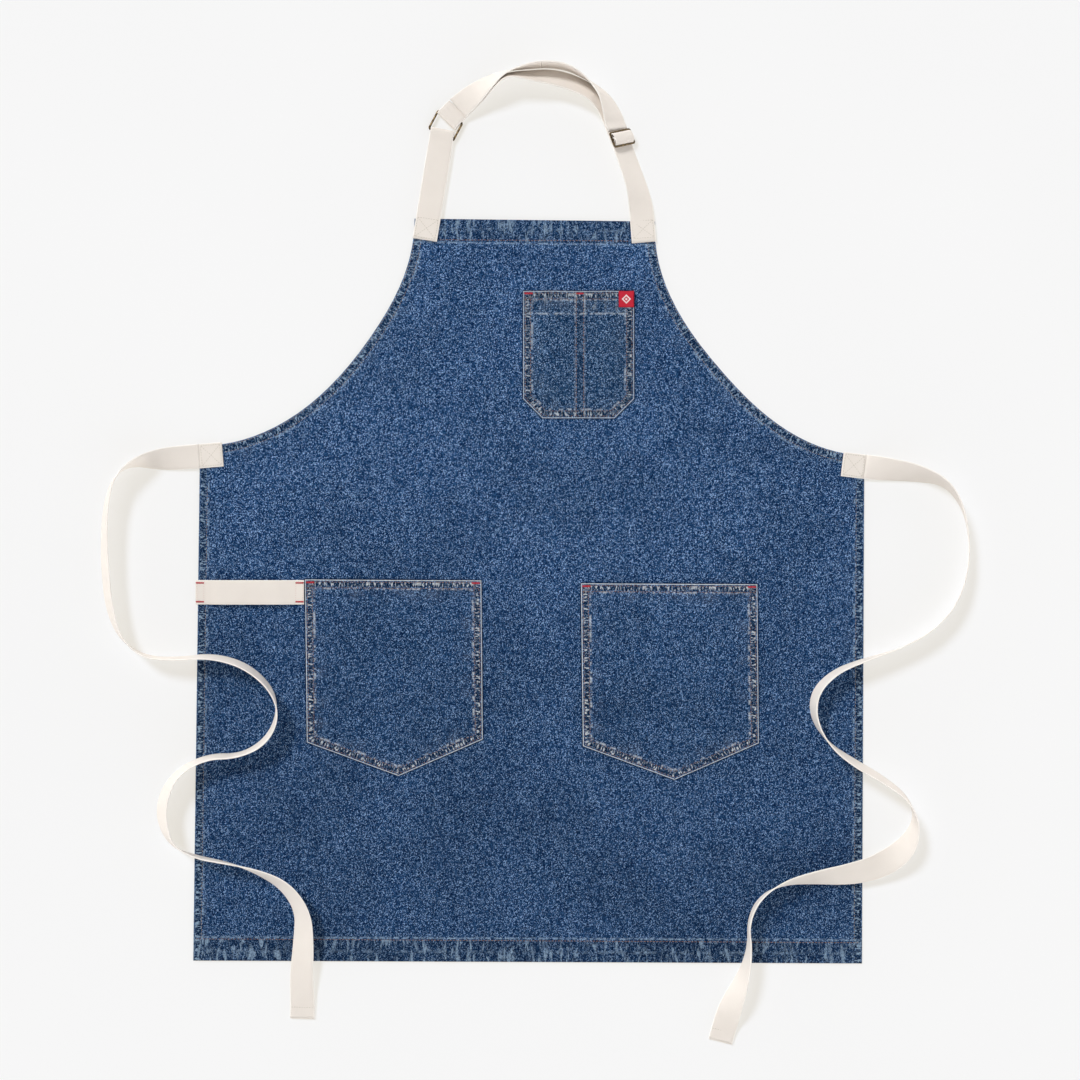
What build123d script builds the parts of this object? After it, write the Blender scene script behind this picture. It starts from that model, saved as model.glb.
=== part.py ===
from build123d import *
import math
import os

# A denim bib apron lying flat, front up. Millimetres. X to the right as one looks down on it,
# Y towards the neck, Z up. The origin is under the middle of the apron and its neck strap, on the surface
# that the apron lies on.

# Cloth, webbing, thread and wire
DENIM = 0.8
TURNED = 1.2  # a turned-under hem below the panel
WEB_WIDTH = 25.4
WEB = 1.4
THREAD = 0.5
THREAD_HEIGHT = 0.35
PANEL_BOTTOM = TURNED
PANEL_TOP = TURNED + DENIM
GAP = 0.3  # air between a loose piece and what it lies on

# Panel outline
BIB_LEFT = (-119, 309)
BIB_RIGHT = (131, 306)
LEFT_SHOULDER = (-342, 73)
RIGHT_SHOULDER = (348.5, 63)
BOTTOM_LEFT = (-349, -462)
BOTTOM_RIGHT = (346, -465)
LEFT_ARMHOLE = [BIB_LEFT, (-136, 235), (-160, 193), (-191, 152), (-228, 116), (-269, 90), LEFT_SHOULDER]
RIGHT_ARMHOLE = [BIB_RIGHT, (144, 235), (167, 193), (199, 152), (240, 110), (282, 81), RIGHT_SHOULDER]
SIDE_HEM = 9.4
TOP_HEM_DEPTHS = (18.4, 27.4)  # at the left and the right end of the area it is cut from
BOTTOM_HEM_DEPTHS = (24.2, 22.8)
TOP_HEM_ROW = [(-93, 286.8), (104, 285.6)]
BOTTOM_HEM_ROW = [(-346, -439.2), (343, -443.2)]
EDGE_ROW = 1.5  # stitch rows, from the cloth's edge
INNER_ROW = 8.4
ARMHOLE_STEPS = 24  # straight pieces in an armhole's hem and rows
LEFT_TIE_PATCH = (-315, 36)  # the rows stop where the ties are sewn on: right or left side, lowest point
RIGHT_TIE_PATCH = (324, 26)
FAR = 500  # beyond the cloth on every side

# Pockets
CHEST_WIDTH = 115
CHEST_HEIGHT = 132
CHEST_CHAMFER = 20
CHEST_CORNER = (-6, 233.5)  # top left
CHEST_DIVIDER = (55, 62.7)  # the two rows, from the left edge
POCKET_OUTLINE = [(0, 0), (183, -1), (184.5, -166), (97, -204), (2, -169)]
LEFT_POCKET = (-232.6, -66)  # top left corners
RIGHT_POCKET = (54, -70)
POCKET_EDGE_ROW = 2.2
POCKET_INNER_ROW = 7.6
POCKET_MARGIN = 9.5  # sewn flat
POCKET_GAPE = 5.4  # clear height inside
POCKET_SLOPE = 40  # of the raised part's sides, from vertical
MOUTH_GAP = 0.3  # from the flat corners to the raised cloth's edge
MOUTH_HEM = 11
MOUTH_HEM_DEPTH = 0.6  # the turned cloth inside the mouth
MOUTH_ROWS = (2.3, 8.4)
DIVIDER_GAP = 2  # from the divider's rows to the raised cloth
ROW_END = (6, 16)  # the rows stop this far from the bays and below the mouth
BARTACK = (8, 2.6, 0.6)
BARTACK_INSET = 5.5
BARTACK_DROP = 2.6
LABEL_WIDTH = 16
LABEL_HEIGHT = 17
LABEL = 0.5

# Towel loop
LOOP_LEFT = -346
LOOP_RIGHT = -233.6
LOOP_Y = -79.3
LOOP_SEWN = 9
LOOP_RISE = 5.2
LOOP_SLOPE = 14
LOOP_CLEAR = 17  # the side row stops this far from the loop's middle
LOOP_TACK = (7.8, 2, 0.6)
LOOP_TACK_ACROSS = 9.8  # from the loop's middle

# Neck strap anchor, ring and slider
ANCHOR_START = (-108.2, 286.5)
RING_BAR = (-91.5, 395.5)  # middle of the lower bar
RING_AXIS = 62  # degrees from X, from the lower bar to the upper one
RING_WIRE = 2.2
RING_INSIDE = 26
RING_REACH = 21.3  # from bar to bar
RING_HEIGHT = PANEL_TOP + WEB
FOLD_WIDTH = 24.6  # webbing gathered a little where it folds round a bar
FOLD_TAIL = 9.7
NECK_DIRECTION = 46  # the long strap leaves the ring this way
ANCHOR_TAPER = 88  # from the anchor's start, where it narrows towards the ring

# The long strap's stations: x, y, height of its lowest edge, roll (its inner edge rises)
NECK_STRAP = [
    (119.4, 284, PANEL_TOP, 0),
    (117.3, 311, PANEL_TOP, 0),
    (115.5, 325, 1, 12),
    (110.5, 346, GAP, 33),
    (84.5, 415.5, GAP, 33),
    (74, 431, GAP, 36),
    (62, 440.2, GAP, 41),
    (40.5, 449.8, GAP, 36),
    (21, 454.4, GAP, 39),
    (2, 454.9, GAP, 51),
    (-12, 456, GAP, 62),
    (-25.2, 454.7, GAP, 68),
    (-39.5, 447.6, GAP, 50),
    (-56.6, 436, GAP, 20),
    (-73.5, 422, 1.9, 3),
]
NECK_RETURN = [
    (-74, 422.5, 3.9, 3),
    (-57, 437, 2.3, 20),
    (-40.7, 449.2, 1.5, 50),
    (-26, 458.6, GAP, 70),
    (0, 464.5, GAP, 88),
    (20, 466.3, GAP, 90),
    (40, 463.3, GAP, 89),
    (56, 454.2, GAP, 84),
    (67, 445.4, 0.6, 73),
    (78.5, 433.6, 1.4, 59),
    (86.2, 416, 2.1, 38),
    (87.9, 409.6, 2.06, 33),
]
STRAIGHT_START = NECK_STRAP[3]
STRAIGHT_END = NECK_STRAP[4]
SLIDER_PLACE = 46.5  # from the start of the straight stretch
SLIDER_WIRE = 1.9
SLIDER_INSIDE = 25.2
SLIDER_REACH = 15.4  # between the outer bars
SLIDER_RISE = 4.1  # bars above the strap's middle
SLIDER_TAIL = 11
SLIDER_FOOT = 12
SLIDER_LEG_GAP = 0.2  # from the strap's tail to the leg beside it
OVER_PLAY = 0.15  # between the end loop and the strap threaded over it
BAR_PLAY = 0.25  # between a bar and the webbing round it

# Waist ties: x, y, height of the lowest edge, roll
ON_CLOTH = PANEL_TOP + 0.5
ON_TABLE = GAP
OVER_FOLD = WEB + 0.1
LEFT_TIE = [
    (-342, 62, PANEL_TOP, 180),
    (-366, 60, 1.2, 168),
    (-390, 57.5, ON_TABLE, 134),
    (-408, 54, ON_TABLE, 100),
    (-422, 46.5, ON_TABLE, 79),
    (-432, 32, ON_TABLE, 70),
    (-437.5, 5, ON_TABLE, 65),
    (-438.5, -25, ON_TABLE, 61),
    (-437.5, -60, ON_TABLE, 59),
    (-433, -98, ON_TABLE, 60),
    (-422, -127, ON_TABLE, 72),
    (-398, -146, ON_TABLE, 90),
    (-364, -148, ON_CLOTH, 94),
    (-328, -144, ON_CLOTH, 97),
    (-292, -154, ON_CLOTH, 96),
    (-265, -178, ON_CLOTH, 90),
    (-258, -206, ON_CLOTH, 76),
    (-271, -233, ON_CLOTH, 76),
    (-299, -248, ON_CLOTH, 87),
    (-331, -248, ON_CLOTH, 84),
    (-361, -263, ON_CLOTH, 74),
    (-377, -287, ON_TABLE, 58),
    (-380.5, -314, ON_TABLE, 53),
    (-369, -341, 1.6, 70),
    (-343, -352, ON_CLOTH, 85),
    (-311, -358, ON_CLOTH, 82),
    (-280, -367, ON_CLOTH, 68),
    (-251, -382, ON_CLOTH, 52),
    (-233, -409, ON_CLOTH, 44),
    (-233, -441, ON_CLOTH, 28),
    (-236, -478, 2.3, 12),
    (-235, -504, OVER_FOLD, 0),
    (-235.5, -521, OVER_FOLD, 0),
]
RIGHT_TIE = [
    (349, 51, PANEL_TOP, 0),
    (374, 48, 1.2, 28),
    (402, 44, ON_TABLE, 50),
    (432, 34, ON_TABLE, 84),
    (449, 8, ON_TABLE, 100),
    (455, -26, ON_TABLE, 105),
    (453, -61, ON_TABLE, 105),
    (441, -94, ON_TABLE, 104),
    (415, -121, ON_TABLE, 101),
    (381, -138, ON_TABLE, 98),
    (348, -148, ON_CLOTH, 90),
    (316, -160, ON_CLOTH, 86),
    (294, -182, ON_CLOTH, 82),
    (293, -210, ON_CLOTH, 84),
    (310, -237, ON_CLOTH, 96),
    (337, -256, ON_CLOTH, 106),
    (367, -273, ON_CLOTH, 104),
    (393, -293, ON_TABLE, 100),
    (401, -317, ON_TABLE, 90),
    (389, -344, 4, 44),
    (363, -363, 8, 2),
    (330, -370, 8, -22),
    (296, -373, 4, -48),
    (264, -378, ON_CLOTH, -70),
    (238, -393, ON_CLOTH, -84),
    (226, -418, ON_CLOTH, -86),
    (228, -446, ON_CLOTH, -92),
    (222, -474, ON_CLOTH, -108),
    (210, -504, 1.8, -142),
    (203, -529, OVER_FOLD, -180),
    (199, -545, OVER_FOLD, -180),
]
TIE_SEWN = 24  # of each tie on the apron
TIE_FOLD = 12  # turned under at the free end
FOLD_UNDER = 0.1  # the turned end's height above the ground
PATCH_MARGIN = 2  # from the webbing's edges to the sewn square
NECK_PATCH = 24  # lengths of the sewn squares
STRAP_PATCH = 22
BEND = 0.45  # of the shorter run, for the arcs of a tie's path
SECTION_STEP = 8  # along a ribbon, from one section of its loft to the next


def flat_face(points):
    return make_face(Polyline(*points, close=True))


def slab(face, bottom, height):
    return extrude(Pos(0, 0, bottom) * face, amount=height, dir=(0, 0, 1))


def between(a, b, share):
    return tuple(p + (q - p) * share for p, q in zip(a, b))


def along(start, direction, distance, across=0):
    angle = math.radians(direction)
    x = start[0] + distance * math.cos(angle) + across * math.sin(angle)
    y = start[1] + distance * math.sin(angle) - across * math.cos(angle)
    return (x, y)


def heading(a, b):
    return math.degrees(math.atan2(b[1] - a[1], b[0] - a[0]))


def seam(points, height, closed=False):
    """One row of thread as a thin raised strip."""
    line = Polyline(*points, close=closed)
    return slab(trace(line, THREAD), height, THREAD_HEIGHT)


# Ribbons: a flat section that rolls about the path it follows. The edge on the left of the way it runs rises
# when the side is 1, the one on the right when it is -1.


def corner_arcs(points):
    """The turn at each corner and the radius of its arc, as large as its two runs allow."""
    arcs = []
    for a, b, c in zip(points, points[1:], points[2:]):
        first = Vector(*b) - Vector(*a)
        second = Vector(*c) - Vector(*b)
        turn = math.radians(first.get_angle(second))
        radius = BEND * min(first.length, second.length) / math.tan(turn / 2)
        arcs.append((turn, radius))
    return arcs


def station_places(points, arcs):
    """How far along the path each station lies, at the middle of its arc."""
    cuts = [0] + [radius * math.tan(turn / 2) for turn, radius in arcs] + [0]
    halves = [0] + [radius * turn / 2 for turn, radius in arcs] + [0]
    places = [0]
    for i in range(1, len(points)):
        run = (Vector(*points[i]) - Vector(*points[i - 1])).length
        places.append(places[-1] + halves[i - 1] + run - cuts[i - 1] - cuts[i] + halves[i])
    return places


def section(place, tangent, base, roll, side):
    angle = math.radians(roll)
    rise = base + WEB_WIDTH / 2 * abs(math.sin(angle)) + WEB / 2 * abs(math.cos(angle))
    flat = Vector(tangent.X, tangent.Y, 0).normalized()
    low_to_high = Vector(-flat.Y, flat.X, 0) * side * math.cos(angle) + Vector(0, 0, math.sin(angle))
    plane = Plane(origin=(place.X, place.Y, rise), x_dir=low_to_high, z_dir=flat)
    return plane * Rectangle(WEB_WIDTH, WEB)


def ribbon(stations, side, name):
    """A length of webbing along runs joined by tangent arcs, as one loft of flat sections."""
    points = [(x, y) for x, y, base, roll in stations]
    arcs = corner_arcs(points)
    places = station_places(points, arcs)
    path = FilletPolyline(*points, radius=[radius for turn, radius in arcs])
    count = round(path.length / SECTION_STEP)
    sections = []
    i = 0
    for step in range(count + 1):
        at = path.length * step / count
        while i < len(places) - 2 and at > places[i + 1]:
            i += 1
        share = (at - places[i]) / (places[i + 1] - places[i])
        base, roll = between(stations[i][2:], stations[i + 1][2:], share)
        sections.append(section(path @ (step / count), path % (step / count), base, roll, side))
    solid = loft(sections, ruled=True)
    radii = [round(radius) for turn, radius in arcs]
    share = solid.volume / (WEB_WIDTH * WEB * path.length)
    print(name, "length", round(path.length), "volume share", round(share, 3), "radii", radii)
    return solid


def wire_loop(plane, reach, inside, wire):
    """A rectangular loop of round wire: its long bars run along the plane's Y."""
    x = reach / 2
    y = inside / 2 + wire / 2
    corners = [(x, y), (-x, y), (-x, -y), (x, -y)]
    path = plane * FilletPolyline(*corners, radius=wire, close=True)
    start = Plane(origin=path @ 0, z_dir=path % 0)
    return sweep(start * Circle(wire / 2), path=path)


def tube_along_y(plane, inner, outer, width):
    """Webbing folded round a bar that runs along the plane's Y."""
    side = plane * Plane.XZ
    ring = Circle(outer) - Circle(inner)
    return extrude(side * ring, amount=width / 2, both=True)


def block(plane, low, high):
    size = [b - a for a, b in zip(low, high)]
    middle = [(a + b) / 2 for a, b in zip(low, high)]
    return plane * Pos(*middle) * Box(*size)


# The body panel and its turned hems


def region(left, bottom, right, top):
    return Pos((left + right) / 2, (bottom + top) / 2) * Rectangle(right - left, top - bottom)


def band(edge, near, far, steps=1):
    """The strip of cloth between two depths from an edge that has the cloth on its right."""
    sides = []
    for depth in (near, far):
        points = []
        for i in range(steps + 1):
            place = edge @ (i / steps)
            way = edge % (i / steps)
            points.append((place.X + depth * way.Y, place.Y - depth * way.X))
        sides.append(points)
    return flat_face(sides[0] + sides[1][::-1])


left_armhole = Spline(*reversed(LEFT_ARMHOLE))
right_armhole = Spline(*RIGHT_ARMHOLE)
left_side = Line(BOTTOM_LEFT, LEFT_SHOULDER)
right_side = Line(RIGHT_SHOULDER, BOTTOM_RIGHT)
top = Line(BIB_LEFT, BIB_RIGHT)
bottom = Line(BOTTOM_RIGHT, BOTTOM_LEFT)
panel = make_face([left_armhole, top, right_armhole, right_side, bottom, left_side])

top_hem_left = (-FAR, BIB_LEFT[1] - TOP_HEM_DEPTHS[0])
top_hem_right = (FAR, BIB_RIGHT[1] - TOP_HEM_DEPTHS[1])
above_bib_hem = flat_face([top_hem_left, top_hem_right, (FAR, FAR), (-FAR, FAR)])
bottom_hem_left = (-FAR, BOTTOM_LEFT[1] + BOTTOM_HEM_DEPTHS[0])
bottom_hem_right = (FAR, BOTTOM_RIGHT[1] + BOTTOM_HEM_DEPTHS[1])
below_bottom_hem = flat_face([bottom_hem_left, bottom_hem_right, (FAR, -FAR), (-FAR, -FAR)])
below_left_shoulder = region(-FAR, -FAR, 0, LEFT_SHOULDER[1] - SIDE_HEM)
below_right_shoulder = region(0, -FAR, FAR, RIGHT_SHOULDER[1] - SIDE_HEM)
left_tie_patch = region(-FAR, LEFT_TIE_PATCH[1], LEFT_TIE_PATCH[0], FAR)
right_tie_patch = region(RIGHT_TIE_PATCH[0], RIGHT_TIE_PATCH[1], FAR, FAR)
tie_patches = left_tie_patch + right_tie_patch
towel_loop_end = region(-FAR, LOOP_Y - LOOP_CLEAR, LOOP_RIGHT, LOOP_Y + LOOP_CLEAR)

parts = {
    "body_panel": slab(panel, PANEL_BOTTOM, DENIM),
    "bib_top_hem": slab(panel & above_bib_hem, 0, TURNED),
    "bottom_hem": slab(panel & below_bottom_hem, 0, TURNED),
}
armhole_rows = []
side_rows = []
for name, armhole, side, below in (
    ("left", left_armhole, left_side, below_left_shoulder),
    ("right", right_armhole, right_side, below_right_shoulder),
):
    armhole_hem = band(armhole, 0, SIDE_HEM, ARMHOLE_STEPS) - above_bib_hem - below
    side_hem = (band(side, 0, SIDE_HEM) & below) - below_bottom_hem
    parts[name + "_armhole_hem"] = slab(armhole_hem, 0, TURNED)
    parts[name + "_side_hem"] = slab(side_hem, 0, TURNED)
    for depth in (EDGE_ROW, INNER_ROW):
        row = band(armhole, depth, depth + THREAD, ARMHOLE_STEPS) - above_bib_hem - tie_patches
        armhole_rows.append(slab(row, PANEL_TOP, THREAD_HEIGHT))
    row = band(side, INNER_ROW, INNER_ROW + THREAD) - below_bottom_hem - tie_patches - towel_loop_end
    side_rows.append(slab(row, PANEL_TOP, THREAD_HEIGHT))
parts["armhole_stitches"] = Compound(children=armhole_rows)
parts["side_hem_stitches"] = Compound(children=side_rows)
parts["bib_hem_stitches"] = seam(TOP_HEM_ROW, PANEL_TOP)
parts["bottom_hem_stitches"] = seam(BOTTOM_HEM_ROW, PANEL_TOP)

# Pockets: sewn flat along their sides and bottom, raised between, open at the mouth


def pocket(face, bays, mouth):
    """The pocket's shell and the turned hem inside its mouth. Each bay is raised between two places in X."""
    lift = POCKET_GAPE + MOUTH_HEM_DEPTH + DENIM
    inset = offset(face, -POCKET_MARGIN, kind=Kind.INTERSECTION)
    past_mouth = mouth + 3 * MOUTH_HEM
    below_hem = mouth - 3 * MOUTH_HEM
    shell = slab(face, PANEL_TOP, DENIM)
    hems = []
    below_mouth = slab(region(-FAR, -FAR, FAR, mouth), 0, 2 * lift)
    for left, right in bays:
        bay = (inset & region(left, -FAR, right, FAR)) + region(left, below_hem, right, past_mouth)
        raised = extrude(Pos(0, 0, PANEL_TOP) * bay, amount=lift, taper=POCKET_SLOPE)
        hollow = Pos(0, 0, -DENIM) * raised
        shell = (shell + (raised & below_mouth)) - hollow
        hem_band = region(left, mouth - MOUTH_HEM, right, mouth)
        hem_slab = slab(hem_band, PANEL_TOP + POCKET_GAPE, MOUTH_HEM_DEPTH)
        hems.append(hollow & hem_slab)
    return shell, Compound(children=hems)


def pocket_rows(face, mouth, left, right):
    """The two rows round the pocket's sides and bottom."""
    rows = Sketch()
    for depth in (POCKET_EDGE_ROW, POCKET_INNER_ROW):
        outer = offset(face, -depth, kind=Kind.INTERSECTION)
        rows = rows + (outer - offset(face, -depth - THREAD, kind=Kind.INTERSECTION))
    aside, below = ROW_END
    kept = rows - region(left - aside, mouth - below, right + aside, mouth + MOUTH_HEM)
    return slab(kept, PANEL_TOP + DENIM, THREAD_HEIGHT)


def mouth_rows(mouth, bays):
    """The rows that hold the mouth's hem, on the raised cloth."""
    height = PANEL_TOP + POCKET_GAPE + MOUTH_HEM_DEPTH + DENIM
    lift = POCKET_GAPE + MOUTH_HEM_DEPTH + DENIM
    inward = lift * math.tan(math.radians(POCKET_SLOPE)) + THREAD
    rows = []
    for left, right in bays:
        for depth in MOUTH_ROWS:
            rows.append(seam([(left + inward, mouth - depth), (right - inward, mouth - depth)], height))
    return rows


def bartack(x, y, height, size=BARTACK):
    return Pos(x, y, height + size[2] / 2) * Box(*size)


chest_left, chest_top = CHEST_CORNER
chest_right = chest_left + CHEST_WIDTH
chest_bottom = chest_top - CHEST_HEIGHT
chest_face = flat_face([
    (chest_left, chest_top),
    (chest_right, chest_top),
    (chest_right, chest_bottom + CHEST_CHAMFER),
    (chest_right - CHEST_CHAMFER, chest_bottom),
    (chest_left + CHEST_CHAMFER, chest_bottom),
    (chest_left, chest_bottom + CHEST_CHAMFER),
])
divider_rows = [chest_left + x for x in CHEST_DIVIDER]
chest_mouth = chest_top - MOUTH_GAP
label_left = chest_right - LABEL_WIDTH
chest_bays = [
    (chest_left + POCKET_MARGIN, divider_rows[0] - DIVIDER_GAP),
    (divider_rows[1] + DIVIDER_GAP, label_left - THREAD),
]
parts["chest_pocket"], parts["chest_pocket_hem"] = pocket(chest_face, chest_bays, chest_mouth)
chest_sides = pocket_rows(chest_face, chest_mouth, chest_bays[0][0], chest_right - POCKET_MARGIN)
chest_stitches = [chest_sides, *mouth_rows(chest_mouth, chest_bays)]
for x in divider_rows:
    divider_row = [(x, chest_top - 2 * BARTACK_DROP), (x, chest_bottom + POCKET_MARGIN)]
    chest_stitches.append(seam(divider_row, PANEL_TOP + DENIM))
parts["chest_pocket_stitches"] = Compound(children=chest_stitches)
chest_tack_y = chest_top - BARTACK_DROP
chest_tacks = [(chest_left + BARTACK_INSET, chest_tack_y), (sum(divider_rows) / 2, chest_tack_y)]
on_rows = PANEL_TOP + DENIM + THREAD_HEIGHT
parts["chest_pocket_bartacks"] = Compound(children=[bartack(x, y, on_rows) for x, y in chest_tacks])
label_face = region(label_left, chest_top - LABEL_HEIGHT, chest_right, chest_top)
parts["pocket_label"] = slab(label_face, on_rows, LABEL)

for name, corner in (("left", LEFT_POCKET), ("right", RIGHT_POCKET)):
    face = Pos(*corner) * flat_face(POCKET_OUTLINE)
    x, y = corner
    mouth = y + POCKET_OUTLINE[1][1] - MOUTH_GAP
    bay_left = x + POCKET_OUTLINE[4][0] + POCKET_MARGIN
    bay = (bay_left, x + POCKET_OUTLINE[1][0] - POCKET_MARGIN)
    parts[name + "_pocket"], parts[name + "_pocket_hem"] = pocket(face, [bay], mouth)
    rows = [pocket_rows(face, mouth, *bay), *mouth_rows(mouth, [bay])]
    parts[name + "_pocket_stitches"] = Compound(children=rows)
    pocket_right = POCKET_OUTLINE[1][0]
    right_drop = BARTACK_DROP - POCKET_OUTLINE[1][1]
    tacks = [(x + BARTACK_INSET, y - BARTACK_DROP), (x + pocket_right - BARTACK_INSET, y - right_drop)]
    parts[name + "_pocket_bartacks"] = Compound(children=[bartack(a, b, on_rows) for a, b in tacks])

# Towel loop: webbing sewn down at both ends, arched between
loop_path = [
    (LOOP_LEFT, 0),
    (LOOP_LEFT + LOOP_SEWN, 0),
    (LOOP_LEFT + LOOP_SEWN + LOOP_SLOPE, LOOP_RISE),
    (LOOP_RIGHT - LOOP_SEWN - LOOP_SLOPE, LOOP_RISE),
    (LOOP_RIGHT - LOOP_SEWN, 0),
    (LOOP_RIGHT, 0),
]
loop_profile = [(x, PANEL_TOP + z) for x, z in loop_path]
loop_profile += [(x, PANEL_TOP + z + WEB) for x, z in reversed(loop_path)]
loop_side = Plane(origin=(0, LOOP_Y, 0), x_dir=(1, 0, 0), z_dir=(0, -1, 0))
parts["towel_loop"] = extrude(loop_side * flat_face(loop_profile), amount=WEB_WIDTH / 2, both=True)
loop_tacks = []
for x in (LOOP_LEFT + LOOP_SEWN / 2, LOOP_RIGHT - LOOP_SEWN / 2):
    for y in (LOOP_Y - LOOP_TACK_ACROSS, LOOP_Y + LOOP_TACK_ACROSS):
        loop_tacks.append(bartack(x, y, PANEL_TOP + WEB, LOOP_TACK))
parts["towel_loop_bartacks"] = Compound(children=loop_tacks)

# Neck strap anchor: webbing doubled through the ring, both ends sewn to the bib
ring_out = math.radians(RING_AXIS)
ring_plane = Plane(
    origin=(*along(RING_BAR, RING_AXIS, RING_REACH / 2), RING_HEIGHT),
    x_dir=(math.cos(ring_out), math.sin(ring_out), 0),
    z_dir=(0, 0, 1),
)
half_fold = FOLD_WIDTH / 2
fold_outer = RING_WIRE / 2 + BAR_PLAY + WEB
fold_inner = RING_WIRE / 2 + BAR_PLAY
upper_bar = along(RING_BAR, RING_AXIS, RING_REACH)


def bar_fold(bar, far_edge):
    """Webbing doubled round a bar of the ring, with the plan of its two layers up to a far edge."""
    ends = [along(bar, RING_AXIS, 0, side * half_fold) for side in (-1, 1)]
    plane = Plane(origin=(*bar, RING_HEIGHT), x_dir=ring_plane.x_dir, z_dir=(0, 0, 1))
    layers = slab(flat_face([*ends, *far_edge]), RING_HEIGHT - WEB, 2 * WEB)
    tube = tube_along_y(plane, fold_inner, fold_outer, FOLD_WIDTH)
    bar_room = extrude(plane * Plane.XZ * Circle(fold_inner), amount=FOLD_WIDTH, both=True)
    return layers - bar_room + tube


anchor_way = heading(ANCHOR_START, RING_BAR)
half = WEB_WIDTH / 2
anchor_edge = [
    along(ANCHOR_START, anchor_way, ANCHOR_TAPER, half),
    along(ANCHOR_START, anchor_way, 0, half),
    along(ANCHOR_START, anchor_way, 0, -half),
    along(ANCHOR_START, anchor_way, ANCHOR_TAPER, -half),
]
parts["neck_strap_anchor"] = bar_fold(RING_BAR, anchor_edge)
parts["strap_ring"] = wire_loop(ring_plane, RING_REACH, RING_INSIDE, RING_WIRE)
tail_edge = [along(upper_bar, NECK_DIRECTION, FOLD_TAIL, side * half_fold) for side in (1, -1)]
parts["neck_strap_ring_fold"] = bar_fold(upper_bar, tail_edge)

# The long neck strap and its return layer
parts["neck_strap"] = ribbon(NECK_STRAP, 1, "neck_strap")
parts["neck_strap_return"] = ribbon(NECK_RETURN, -1, "neck_strap_return")

# Slider: a wire frame with a centre bar, the strap's sewn end round that bar and the strap threaded over it
strap_way = math.radians(heading(STRAIGHT_START, STRAIGHT_END))
strap_roll = math.radians(STRAIGHT_START[3])
slider_x, slider_y = along(STRAIGHT_START, math.degrees(strap_way), SLIDER_PLACE)
slider_z = GAP + half * math.sin(strap_roll) + WEB / 2 * math.cos(strap_roll)
strap_along = Vector(math.cos(strap_way), math.sin(strap_way), 0)
strap_level = Vector(-strap_along.Y, strap_along.X, 0)
strap_across = strap_level * math.cos(strap_roll) + Vector(0, 0, math.sin(strap_roll))
strap_up = strap_along.cross(strap_across)
strap_plane = Plane(origin=(slider_x, slider_y, slider_z), x_dir=strap_along, z_dir=strap_up)
slider_plane = strap_plane.offset(SLIDER_RISE)
frame = wire_loop(slider_plane, SLIDER_REACH, SLIDER_INSIDE, SLIDER_WIRE)
bar_side = slider_plane * Plane.XZ
bar_half = SLIDER_INSIDE / 2 + SLIDER_WIRE / 2
centre_bar = extrude(bar_side * Circle(SLIDER_WIRE / 2), amount=bar_half, both=True)
parts["strap_slider"] = frame + centre_bar

loop_inner = SLIDER_WIRE / 2 + BAR_PLAY
loop_outer = loop_inner + WEB
end_loop = tube_along_y(slider_plane, loop_inner, loop_outer, FOLD_WIDTH)
end_tail = block(slider_plane, (0, -half_fold, -loop_outer), (SLIDER_TAIL, half_fold, -loop_inner))
parts["neck_strap_end_loop"] = end_loop + end_tail

over_inner = loop_outer + OVER_PLAY
over_outer = over_inner + WEB
foot_bottom = WEB / 2 + GAP - SLIDER_RISE
over = tube_along_y(slider_plane, over_inner, over_outer, FOLD_WIDTH)
over = over & block(slider_plane, (-FAR, -FAR, 0), (FAR, FAR, FAR))
near_leg = block(slider_plane, (-over_outer, -half_fold, foot_bottom), (-over_inner, half_fold, 0))
far_leg_bottom = SLIDER_LEG_GAP - loop_inner
far_leg = block(slider_plane, (over_inner, -half_fold, far_leg_bottom), (over_outer, half_fold, 0))
foot_end = (-over_inner, half_fold, foot_bottom + WEB)
foot = block(slider_plane, (-SLIDER_FOOT, -half_fold, foot_bottom), foot_end)
parts["neck_strap_over_bar"] = over + near_leg + far_leg + foot

# Waist ties, their sewn ends and their turned free ends
for name, stations in (("left", LEFT_TIE), ("right", RIGHT_TIE)):
    parts[name + "_tie"] = ribbon(stations, 1, name + "_tie")
    x, y, base, roll = stations[0]
    direction = heading(stations[1], stations[0])
    sewn_plane = Plane(origin=(x, y, base), x_dir=(*along((0, 0), direction, 1), 0), z_dir=(0, 0, 1))
    parts[name + "_tie_sewn_end"] = block(sewn_plane, (0, -half, 0), (TIE_SEWN, half, WEB))
    x, y, base, roll = stations[-1]
    direction = heading(stations[-1], stations[-2])
    end_plane = Plane(origin=(x, y, 0), x_dir=(*along((0, 0), direction, 1), 0), z_dir=(0, 0, 1))
    parts[name + "_tie_end_fold"] = block(end_plane, (0, -half, FOLD_UNDER), (TIE_FOLD, half, base))
    row_half = half - 2 * THREAD
    row_low = (TIE_FOLD - 2 * THREAD, -row_half, base + WEB)
    end_row = block(end_plane, row_low, (TIE_FOLD - THREAD, row_half, base + WEB + THREAD_HEIGHT))
    parts[name + "_tie_end_stitches"] = end_row


def box_x(middle, direction, length, height):
    """A sewn square with a cross in it."""
    a = length / 2 - PATCH_MARGIN
    b = half - PATCH_MARGIN
    c = a - 2 * THREAD
    d = b - 2 * THREAD
    corners = [along(middle, direction, u, v) for u, v in ((a, b), (a, -b), (-a, -b), (-a, b))]
    inner = [along(middle, direction, u, v) for u, v in ((c, d), (c, -d), (-c, -d), (-c, d))]
    rows = [
        seam(corners, height, closed=True),
        seam([inner[0], inner[2]], height) + seam([inner[1], inner[3]], height),
    ]
    return Compound(children=rows)


def tie_patch(stations):
    direction = heading(stations[1], stations[0])
    middle = along(stations[0], direction, TIE_SEWN / 2)
    return (middle, direction, TIE_SEWN, PANEL_TOP + WEB)


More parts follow.
